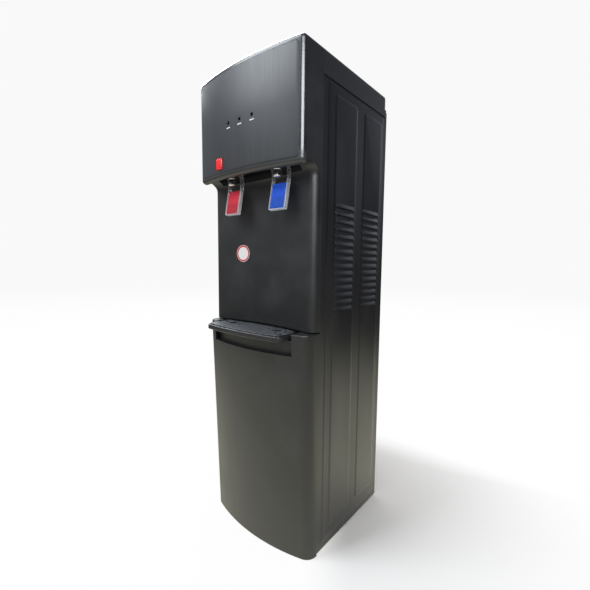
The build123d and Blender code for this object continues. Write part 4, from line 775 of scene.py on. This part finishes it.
# %% Folds at the front and rear, and the sheet's thickness
FOLD, SHEET = 0.0148, 0.001


def is_fold(one, two):
    return max(one.y, two.y) < front_y + CLOSE or min(one.y, two.y) > back_y - CLOSE


pick_edges(skin, is_fold)
bpy.ops.mesh.extrude_region_move(TRANSFORM_OT_translate={"value": (-FOLD, 0, 0)})
apply_modifier(skin, "SOLIDIFY", thickness=SHEET, offset=-1.0)
softened(skin, 0.0004, steps=2, angle=40)
outward(skin, 30)

# %% One louvre's hood
HOOD_SHEET, HOOD_CORNER = 0.0008, 0.0028
HOOD_TOP_REACH = 0.0004
LIP = (-0.0012, 0, 0.0004)
louvre_low, louvre_high = louvre_spans[0]
reach = side_high.x - root_x
bpy.ops.mesh.primitive_cube_add(size=1.0)
hood = take("louvre_hood", side_coat)
hood.scale = (reach, louvre_high - louvre_low, LOUVRE_DROP)
hood.location = (root_x + reach / 2, (louvre_low + louvre_high) / 2, first_z + LOUVRE_DROP / 2)
settle(hood)
outer_x, top_z = side_high.x, first_z + LOUVRE_DROP


def is_top_edge(one, two):
    return min(one.x, two.x) > outer_x - CLOSE and min(one.z, two.z) > top_z - CLOSE


def is_end_edge(one, two):
    upright = abs(one.y - two.y) < CLOSE and abs(one.z - two.z) > 0.005
    return upright and min(one.z, two.z) < first_z + CLOSE and max(one.x, two.x) > outer_x - CLOSE


def is_lip_edge(one, two):
    return max(one.z, two.z) < first_z + CLOSE and min(one.x, two.x) > root_x + 0.001


pick_edges(hood, is_top_edge)
bpy.ops.transform.translate(value=(HOOD_TOP_REACH - reach, 0, 0))
pick_faces(hood, lambda centre, normal: normal.z < -0.9 or normal.x < -0.9)
bpy.ops.mesh.delete(type="FACE")
pick_edges(hood, is_end_edge)
bpy.ops.mesh.bevel(offset=HOOD_CORNER, segments=3, affect="EDGES")
pick_edges(hood, is_lip_edge)
bpy.ops.mesh.extrude_region_move(TRANSFORM_OT_translate={"value": LIP})
apply_modifier(hood, "SOLIDIFY", thickness=HOOD_SHEET, offset=-1.0)
softened(hood, 0.0003, steps=2, angle=35)
outward(hood, 40)

# %% Thirty louvres on the right, and the left side as a mirror image
hoods = []
for column, (low_y, high_y) in enumerate(louvre_spans):
    for row in range(LOUVRES):
        move = (0, low_y - louvre_low, -row * LOUVRE_PITCH)
        hoods.append(copy_of(hood, f"hood_{column}_{row}", move))
bpy.data.objects.remove(hood)
right_louvres = joined(hoods, "right_side_louvres")
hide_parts("right_side_panel")
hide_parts("right_side_panel")
left_skin = mirrored(skin, "left_side_sheet")
left_louvres = mirrored(right_louvres, "left_side_louvres")
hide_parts("left_side_panel")
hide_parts("left_side_panel")
for piece in (skin, right_louvres, left_skin, left_louvres):
    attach(piece, "cabinet")
print("louvres", len(right_louvres.data.polygons), right_louvres.dimensions)

# %% [markdown]
# ## Facia, flush with the head
# The control facia fills the head's bowed front. It is cut from a block by two long cylinders on
# one axis, so its face and its back both follow the bow, and its rim is rolled where it meets the
# bezel. Holes are cut for the three indicators and for the lock button. Level cuts above and
# below each row of holes keep the long faces between them plain, so that the face shades
# smoothly.

# %% Blocks, rods and booleans
def carve(piece, tool, operation):
    """Cut the piece with the tool, or keep what they share, and drop the tool."""
    apply_modifier(piece, "BOOLEAN", object=tool, operation=operation, solver="EXACT")
    bpy.data.objects.remove(tool, do_unlink=True)


def block(name, finish, low, high, round_over=0.0):
    """A box between two corners, with its edges rounded."""
    middle = [(a + b) / 2 for a, b in zip(low, high)]
    bpy.ops.mesh.primitive_cube_add(size=1, location=middle)
    piece = take(name, finish)
    piece.scale = [b - a for a, b in zip(low, high)]
    settle(piece)
    if round_over:
        apply_modifier(piece, "BEVEL", width=round_over, segments=4)
    return piece


def rod(name, finish, radius, low, high, sides=32, turn=(0, 0, 0)):
    """A round bar between two points on one axis, upright unless it is turned."""
    middle = [(a + b) / 2 for a, b in zip(low, high)]
    length = max(abs(b - a) for a, b in zip(low, high))
    bpy.ops.mesh.primitive_cylinder_add(
        vertices=sides, radius=radius, depth=length, location=middle, rotation=turn
    )
    return settle(take(name, finish))


# %% The facia's block, cut to the bow
HEAD_BOW = 0.016
FACIA_PROUD = 0.0002
FACIA_THICKNESS = 0.0070
FACIA_CORNER, FACIA_ROLL = 0.008, 0.0016
FACIA_BLOCK_BACK = -0.14
BOW_SIDES = 900
OVERRUN = 0.01
bezel_low, bezel_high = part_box("head_bezel")
facia_low, facia_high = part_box("control_facia")
button_low, button_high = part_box("hot_lock_button")
bow_radius = (bezel_high.x ** 2 + HEAD_BOW ** 2) / (2 * HEAD_BOW)
bow_y = bezel_low.y - FACIA_PROUD + bow_radius


def on_bow(x):
    """Y of the facia's face at a distance x from the middle."""
    return bow_y - (bow_radius ** 2 - x * x) ** 0.5


def is_front_to_back(one, two):
    return abs(one.x - two.x) + abs(one.z - two.z) < 0.001


facia = block(
    "facia_panel",
    facia_lacquer,
    (facia_low.x, bezel_low.y - OVERRUN, facia_low.z),
    (facia_high.x, FACIA_BLOCK_BACK, facia_high.z),
)
pick_edges(facia, is_front_to_back)
bpy.ops.mesh.bevel(offset=FACIA_CORNER, segments=8)
settle(facia)
span = (0, bow_y, bezel_low.z - OVERRUN), (0, bow_y, bezel_high.z + OVERRUN)
for name, radius, operation in (
    ("bow_outer", bow_radius, "INTERSECT"),
    ("bow_inner", bow_radius - FACIA_THICKNESS, "DIFFERENCE"),
):
    carve(facia, rod(name, facia_lacquer, radius, *span, sides=BOW_SIDES), operation)
softened(facia, FACIA_ROLL, steps=3, angle=40)

# %% Holes for the indicators and the button
HOLE_RADIUS = 0.0036
HOLE_MARGIN = 0.0012
HOLE_FRONT, HOLE_BACK = -0.19, -0.13
CAP_INSET, CAP_GAP = 0.0020, 0.0006
for low_z, high_z in ((lens_z - HOLE_RADIUS, lens_z + HOLE_RADIUS), (button_low.z, button_high.z)):
    for level in (low_z - HOLE_MARGIN, high_z + HOLE_MARGIN):
        cut(facia, everywhere, 2, level)
settle(facia)
for x in (-lens_pitch, 0, lens_pitch):
    ends = (x, HOLE_FRONT, lens_z), (x, HOLE_BACK, lens_z)
    hole = rod("hole", facia_lacquer, HOLE_RADIUS, *ends, turn=(QUARTER_TURN, 0, 0))
    carve(facia, hole, "DIFFERENCE")
hole = block(
    "hole",
    facia_lacquer,
    (button_low.x + CAP_INSET - CAP_GAP, HOLE_FRONT, button_low.z + CAP_INSET - CAP_GAP),
    (button_high.x - CAP_INSET + CAP_GAP, HOLE_BACK, button_high.z - CAP_INSET + CAP_GAP),
)
carve(facia, hole, "DIFFERENCE")
outward(facia, 30)
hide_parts("control_facia")
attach(facia, "cabinet")
print("facia", len(facia.data.polygons), facia.dimensions)

# %% The lock button's cap
CAP_STANDS = 0.0045
CAP_ROUND = 0.0022
cap_y = on_bow((button_low.x + button_high.x) / 2)
cap = block(
    "lock_button_cap",
    button_red,
    (button_low.x + CAP_INSET, cap_y - CAP_STANDS, button_low.z + CAP_INSET),
    (button_high.x - CAP_INSET, cap_y + FACIA_THICKNESS, button_high.z - CAP_INSET),
    round_over=CAP_ROUND,
)
outward(cap, 50)
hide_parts("hot_lock_button")
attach(cap, "lock_button")
print("button cap", cap.dimensions)

# %% [markdown]
# ## Fluted nozzles
# Each tap ends in a plated nozzle with a collar, sixteen flutes and a bright rounded mouth. The
# flutes are every other face of a many-sided bar, sunk a little. One nozzle is shaped and the
# other is its copy.

# %% One nozzle and its copy
FLUTES = 16
FLUTE_EDGE, FLUTE_DEPTH = 0.0003, 0.0006
COLLAR_HEIGHT, MOUTH_HEIGHT, BORE_DEPTH = 0.004, 0.007, 0.005
OVERLAP = 0.001
nozzle_low, nozzle_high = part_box("tap_nozzles")
nozzle_radius = (nozzle_high.y - nozzle_low.y) / 2
nozzle_x = nozzle_high.x - nozzle_radius
nozzle_y = (nozzle_high.y + nozzle_low.y) / 2


def ring(name, share, low, high, sides=48, round_over=0.0):
    """An upright turned ring at the right tap. Its radius is a share of the nozzle's."""
    ends = (nozzle_x, nozzle_y, low), (nozzle_x, nozzle_y, high)
    piece = rod(name, chrome, nozzle_radius * share, *ends, sides=sides)
    if round_over:
        softened(piece, round_over, steps=3, angle=40)
    return piece


def is_flute(centre, normal):
    """Whether a face is on the side of the bar, and is every other one round it."""
    if abs(normal.z) > 0.5:
        return False
    outwards = Vector((centre.x - nozzle_x, centre.y - nozzle_y))
    return round(Vector((1, 0)).angle_signed(outwards) / pi * FLUTES - 0.5) % 2 == 0


flutes_low = nozzle_low.z + MOUTH_HEIGHT - OVERLAP
flutes_high = nozzle_high.z - COLLAR_HEIGHT + OVERLAP
flutes = ring("flutes", 0.90, flutes_low, flutes_high, sides=2 * FLUTES)
pick_faces(flutes, is_flute)
bpy.ops.mesh.inset(thickness=FLUTE_EDGE, use_individual=True)
bpy.ops.mesh.extrude_region_shrink_fatten(TRANSFORM_OT_shrink_fatten={"value": -FLUTE_DEPTH})
settle(flutes)
collar = ring("collar", 1.0, nozzle_high.z - COLLAR_HEIGHT, nozzle_high.z, round_over=0.0008)
mouth = ring("mouth", 0.96, nozzle_low.z, nozzle_low.z + MOUTH_HEIGHT, round_over=0.0022)
bore = ring("bore", 0.55, nozzle_low.z - OVERLAP, nozzle_low.z + BORE_DEPTH, sides=32)
carve(mouth, bore, "DIFFERENCE")
nozzle = joined([flutes, collar, mouth], "nozzle_cold")
outward(nozzle, 40)
other = copy_of(nozzle, "nozzle_hot", (-2 * nozzle_x, 0, 0))
for piece in (nozzle, other):
    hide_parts("tap_nozzles")
    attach(piece, "cabinet")
print("nozzle", len(nozzle.data.polygons), nozzle.dimensions)

# %% [markdown]
# ## Springs
# Each tap has a coil spring over its plunger's seal, and a wire ring turned by a screw modifier
# makes it. In the tap the spring flattens towards the bonnet as the lever lifts the plunger, but
# this coil keeps one shape.

# %% One coil, turned about the tap's axis
WIRE = 0.0007
TURNS = 3
TURN_STEPS = 24
spring_low, spring_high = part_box("cold_tap_spring")
spring_x, spring_y = (spring_low.x + spring_high.x) / 2, (spring_low.y + spring_high.y) / 2
coil_radius = (spring_high.x - spring_low.x) / 2 - WIRE
pitch = (spring_high.z - spring_low.z - 2 * WIRE) / TURNS
bpy.ops.mesh.primitive_circle_add(
    vertices=8, radius=WIRE, location=(coil_radius, 0, 0), rotation=(QUARTER_TURN, 0, 0)
)
spring = take("cold_spring", spring_wire)
apply_modifier(
    spring,
    "SCREW",
    angle=2 * pi,
    screw_offset=pitch,
    iterations=TURNS,
    steps=TURN_STEPS,
    render_steps=TURN_STEPS,
)
spring.location = (spring_x, spring_y, spring_low.z + WIRE)
outward(spring, 60)
other = copy_of(spring, "hot_spring", (-2 * spring_x, 0, 0))
for piece, side in ((spring, "cold"), (other, "hot")):
    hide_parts(side + "_tap_spring")
    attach(piece, "cabinet")
    side + "_plunger_slide"
    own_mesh(piece)
print("spring", len(spring.data.polygons), spring.dimensions)

# %% [markdown]
# ## Wire and tube condenser
# The condenser behind the cabinet is one long tube, bent back and forth, with thin wires welded
# across both of its faces. The tube is a Bezier curve, whose handles a third longer than the
# bend's radius make a neat half circle. A wire is drawn once, and its copies stand side by side.

# %% The serpentine tube
TUBE_RADIUS = 0.0024
WIRE_RADIUS = 0.0008
WIRE_OVERHANG = 0.013
PASSES = 11
condenser_low, condenser_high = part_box("condenser")
coil_y = (condenser_low.y + condenser_high.y) / 2
bend_half = condenser_high.x - TUBE_RADIUS
low_z, high_z = condenser_low.z + WIRE_OVERHANG, condenser_high.z - WIRE_OVERHANG
pass_pitch = (high_z - low_z) / (PASSES - 1)
bend = pass_pitch / 2
run_half = bend_half - bend

bpy.ops.curve.primitive_bezier_curve_add(location=(0, 0, 0))
tube = take("condenser_tube", condenser_enamel)
tube.data.dimensions = "3D"
spline = tube.data.splines[0]
spline.bezier_points.add(2 * PASSES - 2)
for row in range(PASSES):
    side = 1 if row % 2 == 0 else -1
    z = low_z + row * pass_pitch
    for step, x in enumerate((-side * run_half, side * run_half)):
        if row == 0 and step == 0:
            x = -side * bend_half
        if row == PASSES - 1 and step == 1:
            x = side * bend_half
        point = spline.bezier_points[2 * row + step]
        point.handle_left_type = point.handle_right_type = "FREE"
        point.co = (x, coil_y, z)
        inner, outer = run_half / 2, bend * 4 / 3
        into, out = (outer, inner) if step == 0 else (inner, outer)
        point.handle_left = (x - side * into, coil_y, z)
        point.handle_right = (x + side * out, coil_y, z)
tube.data.bevel_depth = TUBE_RADIUS
tube.data.bevel_resolution = 3
tube.data.resolution_u = 12
tube.data.use_fill_caps = True
settle(tube)
bpy.ops.object.convert(target="MESH")
tube = bpy.context.object
print("tube", tube.dimensions, "CAD", condenser_high - condenser_low)

# %% Wires across both faces
WIRE_PITCH = 0.0055
WIRE_SINK = 0.6
wire_count = int(2 * run_half / WIRE_PITCH) + 1
wires = []
for face in (-1, 1):
    wire_y = coil_y + face * (TUBE_RADIUS + WIRE_RADIUS * WIRE_SINK)
    ends = (-run_half, wire_y, condenser_low.z), (-run_half, wire_y, condenser_high.z)
    first = rod("wire", condenser_enamel, WIRE_RADIUS, *ends, sides=8)
    wires.append(first)
    for step in range(1, wire_count):
        wires.append(copy_of(first, "wire", (step * WIRE_PITCH, 0, 0)))
mat = joined([tube] + wires, "condenser_mat")
outward(mat, 50)
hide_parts("condenser")
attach(mat, "cabinet")
print("condenser", len(mat.data.polygons), mat.dimensions)

# %% [markdown]
# ## Floor, backdrop and light
# The cabinet stands on a white floor before a pale backdrop. One large soft lamp at the front
# left does most of the work and throws the faint shadow to the rear right. Two more lamps show in
# reflections alone: one on the rounded right corners, and one along the rim of the head's top.
#
# The floor glows a steady white of its own, except close to the cabinet on the side where the
# shadow falls. There it takes the lamp's light and the shadow. The camera and clear plastic see
# one pale backdrop all round. Reflections see a room that is dark on the right, pale on the left
# and pale high at the rear, so black stays black, and a floor that fades to dark away from the
# cabinet.

# %% Floor
FLOOR_REACH = 30.0
BACKDROP = grey(0.947)
bpy.ops.mesh.primitive_plane_add(size=2 * FLOOR_REACH, location=(0, 0, 0))
floor = bpy.context.object
floor.name = "studio_floor"
ground = Finish("white floor")
floor_x, floor_y, _ = ground.axes()
away = (floor_x * floor_x + floor_y * floor_y) ** 0.5
ground.set(Base_Color=colour(1.0, 0.985, 0.975), Roughness=0.8, Specular_IOR_Level=0.1)
in_gloss = ground.light_path("Is Glossy Ray")
seen_floor = ground.blend(ground.step(away, 2.0, 9.0), grey(1.0), BACKDROP)
shown_floor = ground.blend(ground.step(away, 0.3, 2.6), colour(1.30, 1.28, 1.02), grey(0.08))
glow_colour = ground.blend(in_gloss, seen_floor, shown_floor)
glow = ground.node("ShaderNodeEmission", inputs={"Color": glow_colour})
shadow_side = floor_x * 0.8 + floor_y * 0.6
open_floor = ground.step(away, 0.20, 0.80).most(ground.step(shadow_side, 0.14, 0.02) * 0.92)
open_floor = open_floor.most(ground.step(floor_y, 0.30, 0.50))
glowing = open_floor.most(in_gloss * ground.step(away, 0.12, 0.35))
lit = Mask(ground, ground.shader.outputs[0])
mixed = ground.node("ShaderNodeMixShader", inputs={0: glowing, 1: lit, 2: glow})
ground.feed(ground.end, "Surface", mixed)
floor.data.materials.append(ground.material)


# %% World
class Room(Finish):
    """The world's backdrop, built from the same masks as a finish."""

    def __init__(self, name):
        self.material = bpy.data.worlds.new(name)
        self.start("ShaderNodeBackground", "ShaderNodeOutputWorld", "Generated")


DARK_LOW, DARK_HIGH = colour(0.045, 0.05, 0.055), colour(0.12, 0.13, 0.16)
FAR_LOW, FAR_HIGH = colour(0.10, 0.11, 0.12), colour(0.85, 0.90, 1.00)
PALE_LOW, PALE_HIGH = colour(0.36, 0.37, 0.38), colour(0.50, 0.54, 0.60)
DIFFUSE_LIGHT = grey(0.68)

room = Room("studio")
bpy.context.scene.world = room.material
east, north, up = room.axes()
dark_side = room.blend(room.step(up, 0.0, 0.5), DARK_LOW, DARK_HIGH)
far_side = room.blend(room.step(up, 0.0, 0.4), FAR_LOW, FAR_HIGH)
dark_side = room.blend(room.step(north, 0.80, 0.93), dark_side, far_side)
pale_side = room.blend(room.step(up, 0.05, 0.45), PALE_LOW, PALE_HIGH)
shown = room.blend(room.step(east, 0.50, -0.30), dark_side, pale_side)
shown = room.blend(room.light_path("Is Glossy Ray"), DIFFUSE_LIGHT, shown)
seen = room.light_path("Is Camera Ray").most(room.light_path("Is Transmission Ray"))
room.set(Color=room.blend(seen, shown, BACKDROP))

# %% Lamps
LAMP_COLOUR = (0.90, 0.96, 1.0)


def softbox(name, place, aim, size, watts, gloss_only=False):
    """A rectangular area lamp at place that faces aim. A gloss lamp shows in reflections alone."""
    bpy.ops.object.light_add(type="AREA", location=place)
    lamp = bpy.context.object
    lamp.name = name
    lamp.data.shape = "RECTANGLE"
    lamp.data.size, lamp.data.size_y = size
    lamp.data.energy = watts
    lamp.data.color = LAMP_COLOUR
    lamp.visible_diffuse = not gloss_only
    lamp.rotation_euler = (Vector(aim) - Vector(place)).to_track_quat("-Z", "Y").to_euler()


softbox("key_lamp", place=(-1.25, -1.90, 2.8), aim=(0, 0, 0.5), size=(1.5, 1.6), watts=66)
softbox(
    "edge_lamp",
    place=(1.5, -1.7, 1.75),
    aim=(0.1, -0.1, 0.8),
    size=(1.9, 0.8),
    watts=80,
    gloss_only=True,
)
softbox(
    "rim_lamp",
    place=(-1.65, 0.64, 2.65),
    aim=(0, 0, 1.0),
    size=(1.6, 1.6),
    watts=165,
    gloss_only=True,
)
